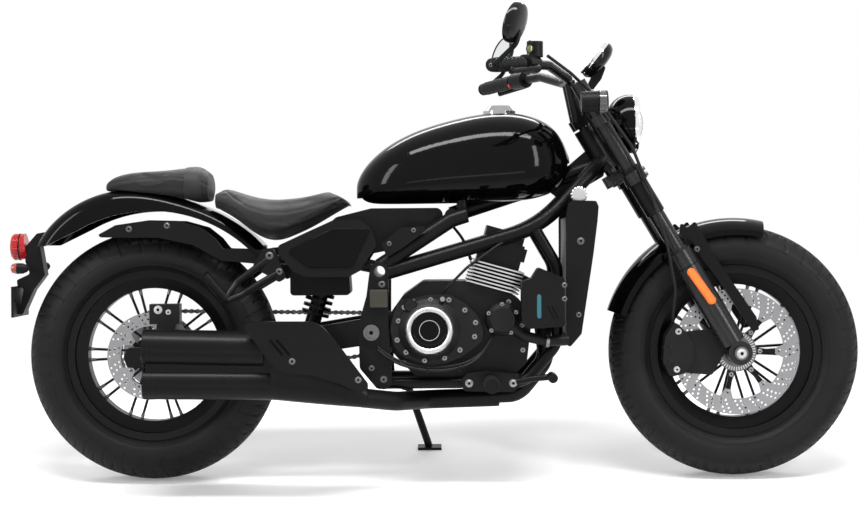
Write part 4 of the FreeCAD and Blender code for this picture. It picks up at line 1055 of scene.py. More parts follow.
class WheelTrim(bpy.types.Operator):
    """Spoke nipples, valves, the drilled discs with their carriers and bolts, and the slotted speed ring"""

    bl_idname = "motorcycle.wheel_trim"
    bl_label = "Trim the wheels"

    def execute(self, context):
        self.nipples_and_valves()
        self.discs()
        self.speed_ring()
        return {"FINISHED"}

    def nipples_and_valves(self):
        for label, x, body, flange_r in HUBS:
            nipples = []
            for i in range(10):
                middle = 36.0 * i + 18.0
                side = 1 if i % 2 else -1
                for lean in (-1, 1):
                    root = wheel_at(x, flange_r - 7, math.radians(middle + lean * 5), side * 30)
                    tip = wheel_at(x, NIPPLE_R, math.radians(middle + lean * 13), side * 10)
                    nipples.append((tip, root - tip, 4.4, 15.0))
            screws(f"{label}_nipples", nipples, body, "dark_steel", 8, 0.3, 1.5, reach=0)
            valve = [
                (-3, 0), (0, 4.2), (6, 4.2), (7, 3.4), (24, 3.4), (25, 4.0), (32, 4.0), (33, 2.0), (33, 0),
            ]
            foot = wheel_at(x, NIPPLE_R, 0.0, 0)
            lathed(f"{label}_valve", valve, foot, (-1, 0, 0), body, "rubber_black", 16)

    def discs(self):
        for label, x, body, y, reach, arms, band, hub_r in DISCS:
            inner = reach + 13
            face = drilled_disc(f"{label}_disc_face", x, y + 2.5, inner + band, inner, arms, body)
            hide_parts(f"{label}_disc")
            disc_carrier(f"{label}_carrier", x, y + 5, hub_r, reach, arms, body)
            bolt_circle(f"{label}_disc_bolts", x, reach, y, arms, body, 5.2, 2.2)

    def speed_ring(self):
        plate = [(-59.4, 45), (-59.4, 51), (-62.0, 51), (-62.0, 30), (-60.0, 30), (-60.0, 45)]
        hoop("speed_ring", plate, (FRONT_X, 0, AXLE_Z), TO_LEFT, "front_wheel", "dark_steel", 96)
        slots = []
        for angle in turns(44):
            out = Vector((math.cos(angle), 0, math.sin(angle)))
            slots.append((wheel_at(FRONT_X, 44, angle, -62.1), TO_RIGHT, out, (9.0, 2.6, 0.5)))
        ribs("speed_ring_slots", slots, "front_wheel", "silver_cast")
        bolt_circle("carrier_bolts", FRONT_X, 60, -59.5, 7, "front_wheel", 4.8, 3.5)


LINK_PITCH = 15.875
LINK_LIFT = 8.5
CHAIN_Y = 94
REAR_SPROCKET_R = 98
FRONT_SPROCKET_R = 36


class DriveChain(bpy.types.Operator):
    """Lay the chain's links round both sprockets"""

    bl_idname = "motorcycle.drive_chain"
    bl_label = "Make the drive chain"

    def execute(self, context):
        big, small = REAR_SPROCKET_R + LINK_LIFT, FRONT_SPROCKET_R + LINK_LIFT
        dx, dz = 640.0, 52.0
        reach = math.hypot(dx, dz)
        tilt = math.atan2(dz, dx)
        lift = math.acos((big - small) / reach)
        run = math.sqrt(reach ** 2 - (big - small) ** 2)
        lengths = (run, 2 * lift * small, run, (2 * math.pi - 2 * lift) * big)
        total = sum(lengths)
        count = 2 * round(total / LINK_PITCH / 2)
        pitch = total / count

        def along(angle):
            return Vector((math.cos(angle), 0, math.sin(angle)))

        def at(distance):
            """The point at a distance round the chain, from its upper run at the rear sprocket."""
            distance %= total
            start, below = along(tilt + lift), along(tilt - lift)
            rear, front = Vector((0, CHAIN_Y, AXLE_Z)), Vector((dx, CHAIN_Y, AXLE_Z + dz))
            if distance < lengths[0]:
                return (rear + start * big).lerp(front + start * small, distance / run)
            distance -= lengths[0]
            if distance < lengths[1]:
                return front + along(tilt + lift - distance / small) * small
            distance -= lengths[1]
            if distance < lengths[2]:
                return (front + below * small).lerp(rear + below * big, distance / run)
            return rear + along(tilt - lift - (distance - lengths[2]) / big) * big

        for label, wide, first in (("inner", 8.6, 0), ("outer", 11.6, 1)):
            places = []
            for i in range(first, count, 2):
                a, b = at(i * pitch), at((i + 1) * pitch)
                places.append(((a + b) / 2, turn_to(TO_LEFT, b - a), (pitch, pitch * 0.86, wide)))
            values = {"Plate finish": finish("chain_steel")}
            piece = repeated(f"chain_{label}_links", link_tree(), places, "chassis", values)
            if label == "outer":
                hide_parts("drive_chain")
        return {"FINISHED"}


# Engine and cooling
class EngineTrim(bpy.types.Operator):
    """The silver clutch ring, the bright fin edges, the cover screws, the wires, and the finned power box with a
    wire to each injector
    """

    bl_idname = "motorcycle.engine_trim"
    bl_label = "Trim the engine"

    def execute(self, context):
        self.clutch_ring()
        self.fin_edges()
        self.cover_screws()
        self.wires()
        self.throttle_bodies()
        return {"FINISHED"}

    def clutch_ring(self):
        centre = (705, 0, 385)
        ring = [
            (168, 60.6), (181, 60.6), (187.5, 57.6), (190.6, 53.0), (190.6, 50.4), (186.5, 44.4), (183, 43.0),
            (168, 43.0),
        ]
        hoop("clutch_ring", ring, centre, TO_RIGHT, "chassis", "silver_cast", 128)
        disc = [(184, 0), (189.6, 0), (189.6, 36), (189.2, 41), (188.2, 43.2), (184, 43.2)]
        lathed("clutch_disc", disc, centre, TO_RIGHT, "chassis", "gloss_black", 96)
        groove = [(189.3, 24), (190.0, 24.2), (190.0, 25.6), (189.3, 25.8)]
        hoop("clutch_disc_line", groove, centre, TO_RIGHT, "chassis", "silver_cast", 96)

    def fin_edges(self):
        """Machined strips on the rim of each cooling fin, and a ribbed plate, tilted with the cylinders."""
        tilt = math.radians(15.8)
        c, s = math.cos(tilt), math.sin(tilt)

        def place(x, y, z):
            u, w = x - 850, z - 470
            return Vector((850 + u * c + w * s, y, 470 - u * s + w * c))

        ring = rounded([(790, -118), (926, -118), (926, 118), (790, 118)], 2, 3)
        centre = Vector((858, 0))
        for number in range(7):
            z = 490 + 9 * number
            verts = []
            for x, y in ring:
                out = (Vector((x, y)) - centre).normalized() * 0.7
                for side, rise in ((-1, -0.25), (1, -0.1), (1, 3.6), (-1, 3.75)):
                    verts.append(place(x + side * out.x, y + side * out.y, z + rise))
            built(f"fin_edge_{number}", verts, ring_faces(len(ring), 4), "chassis", "bright_fin", 40)
        spots = [place(x, 0, z) for x, z in ((822, 474), (880, 474), (874, 486), (828, 486))]
        slab("fin_plate", [(p.x, p.z) for p in spots], -84.2, -90.5, "chassis", "silver_cast", 3)
        along = place(1, 0, 0) - place(0, 0, 0)
        lines = [(place(831 + 5.4 * i, -90.6, 480), TO_RIGHT, along, (1.2, 7.0, 0.8)) for i in range(9)]
        ribs("fin_plate_ribs", lines, "chassis", "dark_steel")

    def cover_screws(self):
        """Screws round the covers of both sides, the clutch lever's cap and the oil filler."""
        cover = [
            (636, 447), (707, 467), (757, 466), (800, 438), (829, 404), (826, 366), (786, 330), (744, 309),
            (690, 303), (640, 325), (616, 358), (620, 410), (660, 462),
        ]
        cover = [(720 + (x - 720) * 0.92, 385 + (z - 385) * 0.92) for x, z in cover]
        pump = [(888 + 38 * math.cos(a), 409 + 38 * math.sin(a)) for a in (0.5, 1.6, 2.7, 3.9, 5.3)]
        case = [(905, 452), (938, 392), (940, 330), (884, 262), (760, 252), (640, 300)]
        places = [((x, -158, z), TO_RIGHT, 5.2, 5.0) for x, z in cover]
        places += [((x, -148.6, z), TO_RIGHT, 4.6, 5.0) for x, z in pump]
        places += [((x, -104.6, z), TO_RIGHT, 5.0, 6.0) for x, z in case]
        screws("cover_screws_right", places, "chassis", "steel")
        left = [
            (706, 448), (760, 474), (846, 463), (897, 416), (897, 350), (846, 303), (760, 297), (706, 334),
        ]
        places = [((x, 107.6, z), TO_LEFT, 5.0, 6.0) for x, z in left]
        places += [((x, 119.8, z), TO_LEFT, 4.6, 4.0) for x, z in ((614, 410), (614, 330), (706, 372))]
        screws("cover_screws_left", places, "chassis", "dark_steel", reach=28)
        lever = [(-157, 0), (-157, 8), (-163, 8), (-171, 6), (-171, 0)]
        lathed("clutch_lever_cap", lever, (738, 0, 462), TO_LEFT, "chassis", "steel", 24)
        filler = [(-157, 0), (-157, 17), (-165, 17), (-169, 14), (-169, 0)]
        lathed(
            "oil_filler", filler, (658, 0, 446), TO_LEFT, "chassis", "cast_black", 60,
            wave=lambda angle, along: 0.9 * math.cos(12 * angle) if along < -158 else 0,
        )

    def wires(self):
        """Bound wires under the clutch cover."""
        for number, (drop, out) in enumerate(((0, 0), (7, 5))):
            run = [
                (575, -154, 344 - drop), (604, -160 - out, 318 - drop), (662, -166 - out, 296 - drop),
                (740, -166 - out, 289 - drop), (812, -158 - out, 306 - drop), (850, -136, 340),
                (872, -118, 384),
            ]
            pipe(f"lower_wire_{number}", run, 3.4, "chassis", "rubber_black")
        tie = [(-2.5, 7.5), (-2.5, 9.0), (2.5, 9.0), (2.5, 7.5)]
        for number, (x, z) in enumerate(((612, 309), (700, 288), (780, 290))):
            hoop(f"wire_tie_{number}", tie, (x, -167, z), (1, 0, -0.1), "chassis", "plastic_black", 20)

    def throttle_bodies(self):
        """The finned power box on the pivot plate, and a wire to the injector of each side."""
        box = [(557, 442), (601, 442), (601, 486), (557, 486)]
        slab("power_box", box, -150.2, -163, "chassis", "copper_box", 3)
        fins = [((579, -163.2, 447 + 5.6 * i), TO_RIGHT, (1, 0, 0), (40, 1.4, 2.2)) for i in range(7)]
        ribs("power_box_fins", fins, "chassis", "copper_box")
        for s in (-1, 1):
            run = [(745, s * 40, 668), (770, s * 62, 640), (800, s * 82, 600), (812, s * 78, 556)]
            pipe(f"injector_wire_{s + 2}", run, 3.2, "chassis", "rubber_black")


class CoolingTrim(bpy.types.Operator):
    """The radiator's tubes and fins, its scalloped cap and neck, and the coolant box's marks and screws"""

    bl_idname = "motorcycle.cooling_trim"
    bl_label = "Trim the cooling parts"

    def execute(self, context):
        nose = head_at(0, -35).x
        low, high = Vector((nose - 106, 0, 385)), Vector((nose - 82, 0, 656))
        rise = (high - low)
        along = rise.normalized()
        out = Vector((along.z, 0, -along.x))
        places = []
        for i in range(27):
            place = low + rise * (i + 0.5) / 27
            places.append((place + out * 0.6, out, TO_LEFT, (206, 2.2, 3.4)))
        ribs("radiator_tubes", places, "chassis", "dark_steel")
        places = []
        for i in range(96):
            place = low + rise * 0.5 + Vector((0, -102.5 + 205 / 95 * i, 0))
            places.append((place + out * 0.3, out, TO_LEFT, (0.5, rise.length - 4, 2.2)))
        ribs("radiator_fins", places, "chassis", "dark_steel")
        cap = [
            (-130.4, 0), (-131.6, 10), (-131.6, 17), (-129, 21.2), (-108, 22.6), (-96, 22.6), (-94, 20),
            (-93.6, 0),
        ]
        piece = lathed(
            "radiator_cap_top", cap, (nose - 97, 0, 720), TO_LEFT, "chassis", "silver_cast", 168,
            wave=lambda angle, along: -0.9 + 0.9 * math.cos(14 * angle) if -130 < along < -95 else 0,
        )
        neck = [(nose - 89, -112, 662), (nose - 93, -112, 690), (nose - 95, -112, 706)]
        pipe("radiator_neck", neck, 12, "chassis", "dark_steel")
        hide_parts("radiator_cap")
        mark = [(971.4, 414), (981.6, 414), (981.6, 473), (971.4, 473)]
        slab("coolant_mark", mark, -205.8, -206.7, "chassis", "teal", 5.0, 0.2)
        # The box's slots are near-black bars on its face: painted shade where the openings are
        slots = [((x, -206.2, 428), TO_RIGHT, (-0.46, 0, 0.89), (36, 2.6, 0.6)) for x in (1005.5, 1015.5)]
        ribs("coolant_box_slots", slots, "chassis", "shade_and_seam_black")
        places = [((nose - 141, -195.6, z), TO_RIGHT, 5.4, 3.4) for z in (496, 462)]
        screws("coolant_box_screws", places, "chassis", "dark_steel")
        for s in (-1, 1):
            spots = [(nose - 96, 149.8, 604, 7.5, 4.5), (nose - 102, 149.8, 420, 5.5, 4.0)]
            side_screws("shroud_screws", (s + 2, s), spots, "chassis", "dark_steel")
        clip = [(-4, 13.2), (-4, 15.2), (4, 15.2), (4, 13.2)]
        hoop("hose_clip", clip, (1000, -150, 354), (0.9, 0.05, -0.1), "chassis", "steel", 32)
        return {"FINISHED"}


# Exhaust, fenders and covers
class ExhaustTrim(bpy.types.Operator):
    """The guard's slots and screws, the silencer's bands, lips and bores, and the nuts of the ports"""

    bl_idname = "motorcycle.exhaust_trim"
    bl_label = "Trim the exhaust"

    def execute(self, context):
        face = -290.4
        # The guard's slots are near-black blocks on its face: painted shade where the openings are
        marks = []
        for (x0, z0), (x1, z1) in (((318, 370), (349, 333)), ((334, 371), (366, 333))):
            run = Vector((x1 - x0, 0, z1 - z0))
            marks.append((((x0 + x1) / 2, face + 0.1, (z0 + z1) / 2), TO_RIGHT, run, (run.length, 6.0, 0.8)))
        ribs("guard_slots", marks, "chassis", "shade_and_seam_black")
        places = [((x, face + 0.6, z), TO_RIGHT, 6.5, 3.0) for x, z in ((372, 318), (532, 272))]
        screws("guard_screws", places, "chassis", "dark_steel")
        for label, z0, z1, radius, bore in (("upper", 342.2, 350, 46, 21), ("lower", 258.2, 262, 39, 19)):
            self.outlet(label, Vector((3, -228, z1)), Vector((315, 0, z0 - z1)).normalized(), radius, bore)
        for label, side in SIDES:
            studs = []
            for s in (-1, 1):
                studs.append(((929 + s * 2, side * 42 + s * 23, 520 + s * 3), (0.86, 0, -0.5), 4.0, 7.0))
            screws(f"port_nuts_{label}", studs, "chassis", "steel", 6, 0.3, 1.4)
        return {"FINISHED"}

    def outlet(self, label, rear, axis, radius, bore):
        """The bands, rim, bore and lip at the end of one silencer tube."""
        for number, distance in enumerate((14, 24)):
            near, far = distance, distance + 1.6
            band = [(near, radius - 0.5), (near, radius + 0.5), (far, radius + 0.5), (far, radius - 0.5)]
            hoop(f"{label}_band_{number}", band, rear, axis, "chassis", "satin_black", 96)
        rim = [(3, -0.2), (-0.6, -0.2), (-2.2, 1.4), (-2.2, 3.0), (-0.2, 5.0), (3, 5.0)]
        rim = [(along, bore + more) for along, more in rim]
        hoop(f"{label}_outlet", rim, rear, axis, "chassis", "dark_steel", 64)
        # A flat near-black disc across the bore: painted shade for the pipe's dark inside
        lathed(f"{label}_bore", [(-0.4, 0), (-0.4, bore)], rear, axis, "chassis", "shade_and_seam_black", 64)
        lip = [(0.4, -6), (-0.8, -5), (-0.8, -1.2), (1.0, 0.4), (3.0, 0.4), (3.0, -6)]
        lip = [(along, radius + more) for along, more in lip]
        hoop(f"{label}_end_lip", lip, rear, axis, "chassis", "satin_black", 96)


# Screws that both sides of the body have: name, finish, reach, and each one's x, distance out, height, head
# radius and head height
BODY_SCREWS = (
    ("strut_screws", "dark_steel", 12.0, ((-52, 97.4, 642, 6.5, 4.0), (44, 97.4, 650, 6.5, 4.0))),
    ("spar_plate_screws", "dark_steel", 12.0, ((606, 148.6, 601, 5.0, 3.6), (667, 148.6, 634, 5.0, 3.6))),
    ("pivot_plate_screws", "dark_steel", 12.0, (
        (587, 149.8, 500, 7.0, 5.0), (560, 149.8, 290, 6.0, 5.0), (590, 149.8, 262, 7.0, 6.0),
    )),
    ("peg_mount_screws", "steel", 12.0, ((803, 155.4, 251, 8.0, 6.0), (913, 155.4, 251, 8.0, 6.0))),
    ("rear_bracket_screws", "dark_steel", 12.0, ((306, 139.8, 573, 8.0, 5.0), (330, 139.8, 533, 7.0, 5.0))),
    ("hanger_screws", "dark_steel", 18.0, ((979, 123.6, 577, 10.0, 5.0),)),
    ("corner_plate_screws", "steel", 12.0, ((965, 130.6, 311, 7.0, 5.0),)),
)


class BodyTrim(bpy.types.Operator):
    """The glossy inserts of the side covers, the body's screws and the ribs of the footpegs"""

    bl_idname = "motorcycle.body_trim"
    bl_label = "Trim the body"

    def execute(self, context):
        insert = [(347, 583.5), (464, 639.5), (559, 638.5), (555, 628), (514, 544.5), (504, 541), (405, 542)]
        for label, s in SIDES:
            slab(f"cover_insert_{label}", insert, s * 145.7, s * 149.4, "chassis", "gloss_black", 9, 0.9)
            for name, look, reach, spots in BODY_SCREWS:
                side_screws(name, (label, s), spots, "chassis", look, reach=reach)
        rib = [(-2.4, 16.6), (-1.8, 19.6), (1.8, 19.6), (2.4, 16.6)]
        for label, s in SIDES:
            for i in range(11):
                middle = (856, s * (220 + 10 * i), 255.6 + 0.2 * i)
                hoop(f"peg_rib_{label}_{i}", rib, middle, TO_LEFT, "chassis", "rubber_black", 24)
        return {"FINISHED"}


# Lamps, mirrors, instrument and controls
def round_ribs(name, centre, radius, count, size, body, look):
    """Ribs along x, set evenly round a lamp that faces along x."""
    places = []
    for angle in turns(count):
        out = Vector((0, math.cos(angle), math.sin(angle)))
        places.append((centre + out * radius, out, (1, 0, 0), size))
    ribs(name, places, body, look)


class Lamps(bpy.types.Operator):
    """The headlamp's inside, glass and bezel, the signals' lenses and cases, and the tail lamp's lens"""

    bl_idname = "motorcycle.lamps"
    bl_label = "Make the lamps"

    def execute(self, context):
        self.headlamp()
        for label, s in SIDES:
            self.front_signal(label, s)
            self.rear_signal(label, s)
        self.tail_lamp()
        return {"FINISHED"}

    def headlamp(self):
        place = head_at(90.4, 77)
        half_width, bulge = 66, 36
        radius = (half_width ** 2 + bulge ** 2) / (2 * bulge)
        dome = []
        for step in range(13):
            r = 65.6 * step / 12
            dome.append((27 - radius + math.sqrt(radius ** 2 - r ** 2), r))
        inner = [(along - 2.2, min(r, 63.4)) for along, r in reversed(dome)]
        glass = lathed("headlamp_glass", dome + inner, place, AHEAD, "steering", "clear_lens", 96)
        dish = [
            (-8.6, 0), (-8.6, 20), (-7.4, 26), (-5.0, 40), (-1.0, 54), (3.0, 62.4), (3.6, 64.4), (-8.8, 64.4),
        ]
        lathed("headlamp_dish", dish, place, AHEAD, "steering", "bright_chrome", 96)
        eye = [(-8.4, 19.5), (2.0, 19.5), (4.0, 17.0), (4.6, 15.0), (9.5, 11.0), (11.5, 5.0), (12.0, 0)]
        lathed("headlamp_projector", eye, place, AHEAD, "steering", "dial_glass", 64)
        ring = [(-7.4, 30), (6.2, 30), (6.2, 36), (-6.4, 36)]
        hoop("headlamp_light_ring", ring, place, AHEAD, "steering", "dial_mark", 96)
        bezel = [
            (-1.5, 75.2), (0.4, 77.4), (6.0, 78.0), (10.6, 76.6), (13.0, 73.2), (13.0, 67.2), (10.0, 66.4),
            (-0.5, 66.4),
        ]
        hoop("headlamp_bezel", bezel, place, AHEAD, "steering", "bright_chrome", 128)
        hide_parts("headlamp_lens")

    def front_signal(self, label, s):
        back = head_at(203.8, -26.8, s * 200)
        shell = [
            (44.5, 26.6), (44.5, 27.5), (47, 27.9), (61.5, 27.6), (65.2, 24.4), (67.2, 19), (68.0, 10),
            (68.0, 0), (66.4, 0),
        ]
        lathed(f"front_signal_lens_{label}", shell, back, AHEAD, "steering", "smoked_lens", 64)
        seam = [(43.2, 26.8), (43.2, 28.3), (44.6, 28.3), (44.6, 26.8)]
        hoop(f"front_signal_seam_{label}", seam, back, AHEAD, "steering", "shade_and_seam_black", 64)
        middle = back + Vector((54.5, 0, 0))
        size = (13.0, 1.2, 0.7)
        round_ribs(f"front_signal_ribs_{label}", middle, 27.7, 24, size, "steering", "smoked_lens")

    def rear_signal(self, label, s):
        rear = Vector((-336, s * 134, 545))
        cover = [(-6, 0), (-6, 7), (-3, 11.4), (4, 13.2), (9, 13.4)]
        lathed(f"rear_signal_lens_{label}", cover, rear, AHEAD, "chassis", "amber_dark", 40)
        shell = [(9, 12.8), (9, 13.8), (24, 13.2), (34, 9.0), (38, 4.0), (38.5, 0)]
        case = lathed(f"rear_signal_case_{label}", shell, rear, AHEAD, "chassis", "plastic_black", 40)
        if s < 0:
            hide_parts("rear_signals")
        stalk = [rear + Vector((6, -s * y, 0)) for y in (26, 14, 4)]
        pipe(f"rear_signal_stalk_{label}", stalk, 6, "chassis", "rubber_black")

    def tail_lamp(self):
        lamp = Vector((-348, 0, 597.8))
        face = [(0.2, 33.2), (-13.8, 33.4), (-19.2, 28.4), (-21.4, 21.4), (-22.4, 0)]
        lathed("tail_lens_face", face, lamp, AHEAD, "chassis", "red_lens", 72)
        middle = lamp + Vector((-7, 0, 0))
        round_ribs("tail_lens_ribs", middle, 33.4, 30, (11.0, 1.6, 0.8), "chassis", "red_lens")
        trim = [(0.0, 33.4), (0.0, 34.6), (3.4, 34.6), (3.4, 33.4)]
        hoop("tail_lamp_ring", trim, lamp, AHEAD, "chassis", "plastic_black", 72)


BAR_RUN = [head_at(*p) for p in (
    (268, -10, 0), (273, -14, -80), (323, -48, -185), (355, -110, -290), (382, -179, -402),
)]


def bar_at(y, back=0.0, up=0.0):
    """A point on the handlebar, or beside it, at a distance to the left."""
    side = -abs(y)
    for a, b in zip(BAR_RUN, BAR_RUN[1:]):
        if b.y <= side:
            break
    spot = a + (b - a) * ((side - a.y) / (b.y - a.y))
    return Vector((spot.x - back, y, spot.z + up))


class Mirrors(bpy.types.Operator):
    """The round mirrors on their bent stems at the ends of the bars"""

    bl_idname = "motorcycle.mirrors"
    bl_label = "Make the mirrors"

    def execute(self, context):
        glass = [(-6.6, 0), (-7.4, 20), (-7.6, 46.6), (-6.0, 47.4), (-6.0, 0)]
        shell = [
            (-7.4, 46.4), (-9.6, 48.0), (-9.6, 49.4), (-7.0, 50.0), (2.0, 50.0), (8.0, 46.5), (12.5, 36),
            (15, 18), (15.6, 0),
        ]
        nut = [(0.2, 0), (0.2, 14), (1.4, 15), (10.8, 15), (12.2, 13.6), (12.2, 0)]
        bar_end = BAR_RUN[-1]
        bar_line = (bar_end - BAR_RUN[-2]).normalized()
        for label, s in SIDES:
            centre = Vector((914, s * 430, 1121))
            turn = Matrix.Rotation(math.radians(25 * s), 3, "Z") @ Matrix.Rotation(math.radians(18), 3, "Y")
            ahead = turn @ Vector(AHEAD)
            lathed(f"mirror_glass_{label}", glass, centre, ahead, "steering", "mirror_glass", 96)
            piece = lathed(f"mirror_shell_{label}", shell, centre, ahead, "steering", "gloss_plastic", 96)
            if s < 0:
                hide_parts("mirrors")
            tip = Vector((bar_end.x, -s * bar_end.y, bar_end.z))
            out = Vector((bar_line.x, -s * bar_line.y, bar_line.z))
            lathed(f"mirror_nut_{label}", nut, tip, out, "steering", "satin_black", 36)
            bend = ((872, 432, 1030), (894, 433, 1052), (920, 432, 1074), (922, 430, 1104))
            stem = [tip + out * 6] + [Vector((x, s * y, z)) for x, y, z in bend]
            pipe(f"mirror_stem_{label}", stem, 6, "steering", "satin_black")
        return {"FINISHED"}


class Instrument(bpy.types.Operator):
    """The dial's glass, bright ring and marks, and the instrument's case and foot"""

    bl_idname = "motorcycle.instrument"
    bl_label = "Make the instrument"

    def execute(self, context):
        face = head_at(288.0, 80.0)
        tilt = Matrix.Rotation(math.radians(39.4), 3, "Y")
        ahead, up, side = tilt @ Vector(AHEAD), tilt @ Vector((0, 0, 1)), Vector(TO_LEFT)
        glass = [(-0.2, 0), (-0.6, 30), (-0.6, 44.6), (0.6, 45.2), (0.6, 0)]
        lathed("dial_glass", glass, face, ahead, "steering", "dial_glass", 96)
        ring = [(-3.2, 46.6), (-3.9, 47.8), (-3.6, 51.6), (-1.8, 52.6), (6.5, 53.0), (6.5, 51.4)]
        lathed("dial_bezel", ring, face, ahead, "steering", "bright_chrome", 128)
        shell = [(6.0, 49.0), (6.0, 52.6), (14.0, 52.6), (24.0, 47.0), (31.0, 34.0), (34.0, 16.0), (34.4, 0)]
        case = lathed("instrument_case", shell, face, ahead, "steering", "gloss_plastic", 96)
        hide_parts("instrument")
        base = head_at(228, 34)

        def place(u, v):
            return base + Vector((0.52 * v - 0.85 * u, 0, 0.85 * v + 0.52 * u))

        foot = [(-9, -6), (9, -6), (13, 30), (7, 62), (-7, 62), (-13, 30)]
        slab("instrument_foot", foot, -14, 14, "steering", "satin_black", 4, 1.0, place=place)
        dial = face - ahead * 0.75
        marks = []
        for i in range(41):
            angle = math.radians(-130 + 6.5 * i)
            out = up * math.cos(angle) + side * math.sin(angle)
            long = 5.5 if i % 4 == 0 else 3.0
            marks.append((dial + out * (42.0 - long / 2), -ahead, out, (long, 0.9, 0.25)))
        for i in range(8):
            marks.append((dial + up * -16 + side * (-17.5 + 5 * i), -ahead, side, (3.6, 6.0, 0.25)))
        for row, wide in ((10, 26), (2, 16)):
            marks.append((dial + up * row, -ahead, side, (wide, 1.2, 0.25)))
        ribs("dial_marks", marks, "steering", "dial_mark")
        return {"FINISHED"}


class Controls(bpy.types.Operator):
    """Grip pads, bar ends, lever balls, switch buttons, the fluid window and the clamps' screws"""

    bl_idname = "motorcycle.controls"
    bl_label = "Trim the controls"

    def execute(self, context):
        for label, s in SIDES:
            self.bar_side(label, s)
        self.buttons()
        self.fluid_box()
        self.clamps()
        return {"FINISHED"}

    def bar_side(self, label, s):
        start, end = bar_at(s * 300), bar_at(s * 398)
        axis = (end - start).normalized()
        side = axis.orthogonal().normalized()
        up = axis.cross(side)
        pads = []
        for row in range(12):
            for column in range(10):
                angle = 2 * math.pi * (column + 0.5 * (row % 2)) / 10
                out = side * math.cos(angle) + up * math.sin(angle)
                place = start + (end - start) * ((row + 0.7) / 12.6) + out * 17.1
                pads.append((place, out, axis, (5.6, 7.6, 1.2)))
        ribs(f"grip_pads_{label}", pads, "steering", "grip_rubber")
        tip = Vector((BAR_RUN[-1].x, s * 402, BAR_RUN[-1].z))
        cap = [(13.4, 0), (13.4, 7), (13.0, 12), (11.4, 15.4), (9, 16.4), (9, 0)]
        lathed(f"bar_end_{label}", cap, tip, axis, "steering", "satin_black", 40)
        screws(f"bar_end_screw_{label}", [(tip + axis * 13.3, axis, 5.0, 1.6)], "steering", "dark_steel")
        ball = [(-8, 0), (-6.5, 5), (-2, 7.8), (2, 7.8), (6.5, 5), (8, 0)]
        lathed(f"lever_ball_{label}", ball, bar_at(s * 392, -36, -14), axis, "steering", "satin_black", 24)
        pod = bar_at(s * 262)
        spots = [(pod + Vector((-4, s * y, z)), (0, 0, 1), 3.2, 2.6) for y, z in ((-12, 20.8), (12, 20.4))]
        screws(f"pod_screws_{label}", spots, "steering", "dark_steel")

    def buttons(self):
        red = [(-2, 0), (-2, 6.6), (3.0, 6.6), (5.4, 5.0), (6.4, 2.4), (6.6, 0)]
        lathed("stop_button", red, bar_at(276, 17, -12), (-0.8, 0, -0.6), "steering", "switch_red", 32)
        button = [(-2, 0), (-2, 5.0), (2.4, 5.0), (3.6, 3.6), (3.8, 0)]
        for name, place, out in (
            ("start_button", bar_at(-256, 19, -9), (-0.85, 0, -0.5)),
            ("lamp_button", bar_at(252, 19, 9), (-0.85, 0, 0.5)),
        ):
            lathed(name, button, place, out, "steering", "gloss_plastic", 28)

    def fluid_box(self):
        """The window in the side of the brake fluid's box, and the screws of its lid."""
        low, high = bar_at(-246, -4, 18), bar_at(-246, -4, 56)
        place, out = low.lerp(high, 0.5) + Vector((-13.2, -16.4, 0)), (-0.63, -0.78, 0)
        window = [(-1, 0), (-1, 9.4), (0.6, 9.4), (1.0, 8.6), (1.1, 0)]
        lathed("fluid_window", window, place, out, "steering", "olive_window", 36)
        ring = [(-1, 9.4), (-1, 11.4), (1.4, 11.2), (1.4, 9.4)]
        hoop("fluid_window_ring", ring, place, out, "steering", "plastic_black", 36)
        up = (high - low).normalized()
        lid = [(high + Vector((x, y, 0)), up, 3.4, 2.2) for x, y in ((-13, -9), (13, 9))]
        screws("fluid_lid_screws", lid, "steering", "dark_steel")

    def clamps(self):
        """The screws of the triple clamps and the bar's clamps, and the caps of the fork."""
        along = (head_at(1) - head_at(0)).normalized()
        ahead = (head_at(0, 1) - head_at(0, 0)).normalized()
        places = []
        for s in (-1, 1):
            for up, out in ((-34, 22), (-18, 22), (214, 20)):
                places.append((head_at(up, out, s * 118), ahead, 5.2, 7.0))
            for y in (34, 50):
                places.append((head_at(286.0, -11, s * y), along, 4.6, 5.0))
        screws("clamp_screws", places, "steering", "dark_steel")
        caps = [(head_at(258.4, 0, s * LEG_Y), along, 9.0, 3.0) for s in (-1, 1)]
        screws("fork_cap_screws", caps, "steering", "steel", 6, 0.5, 1.3)


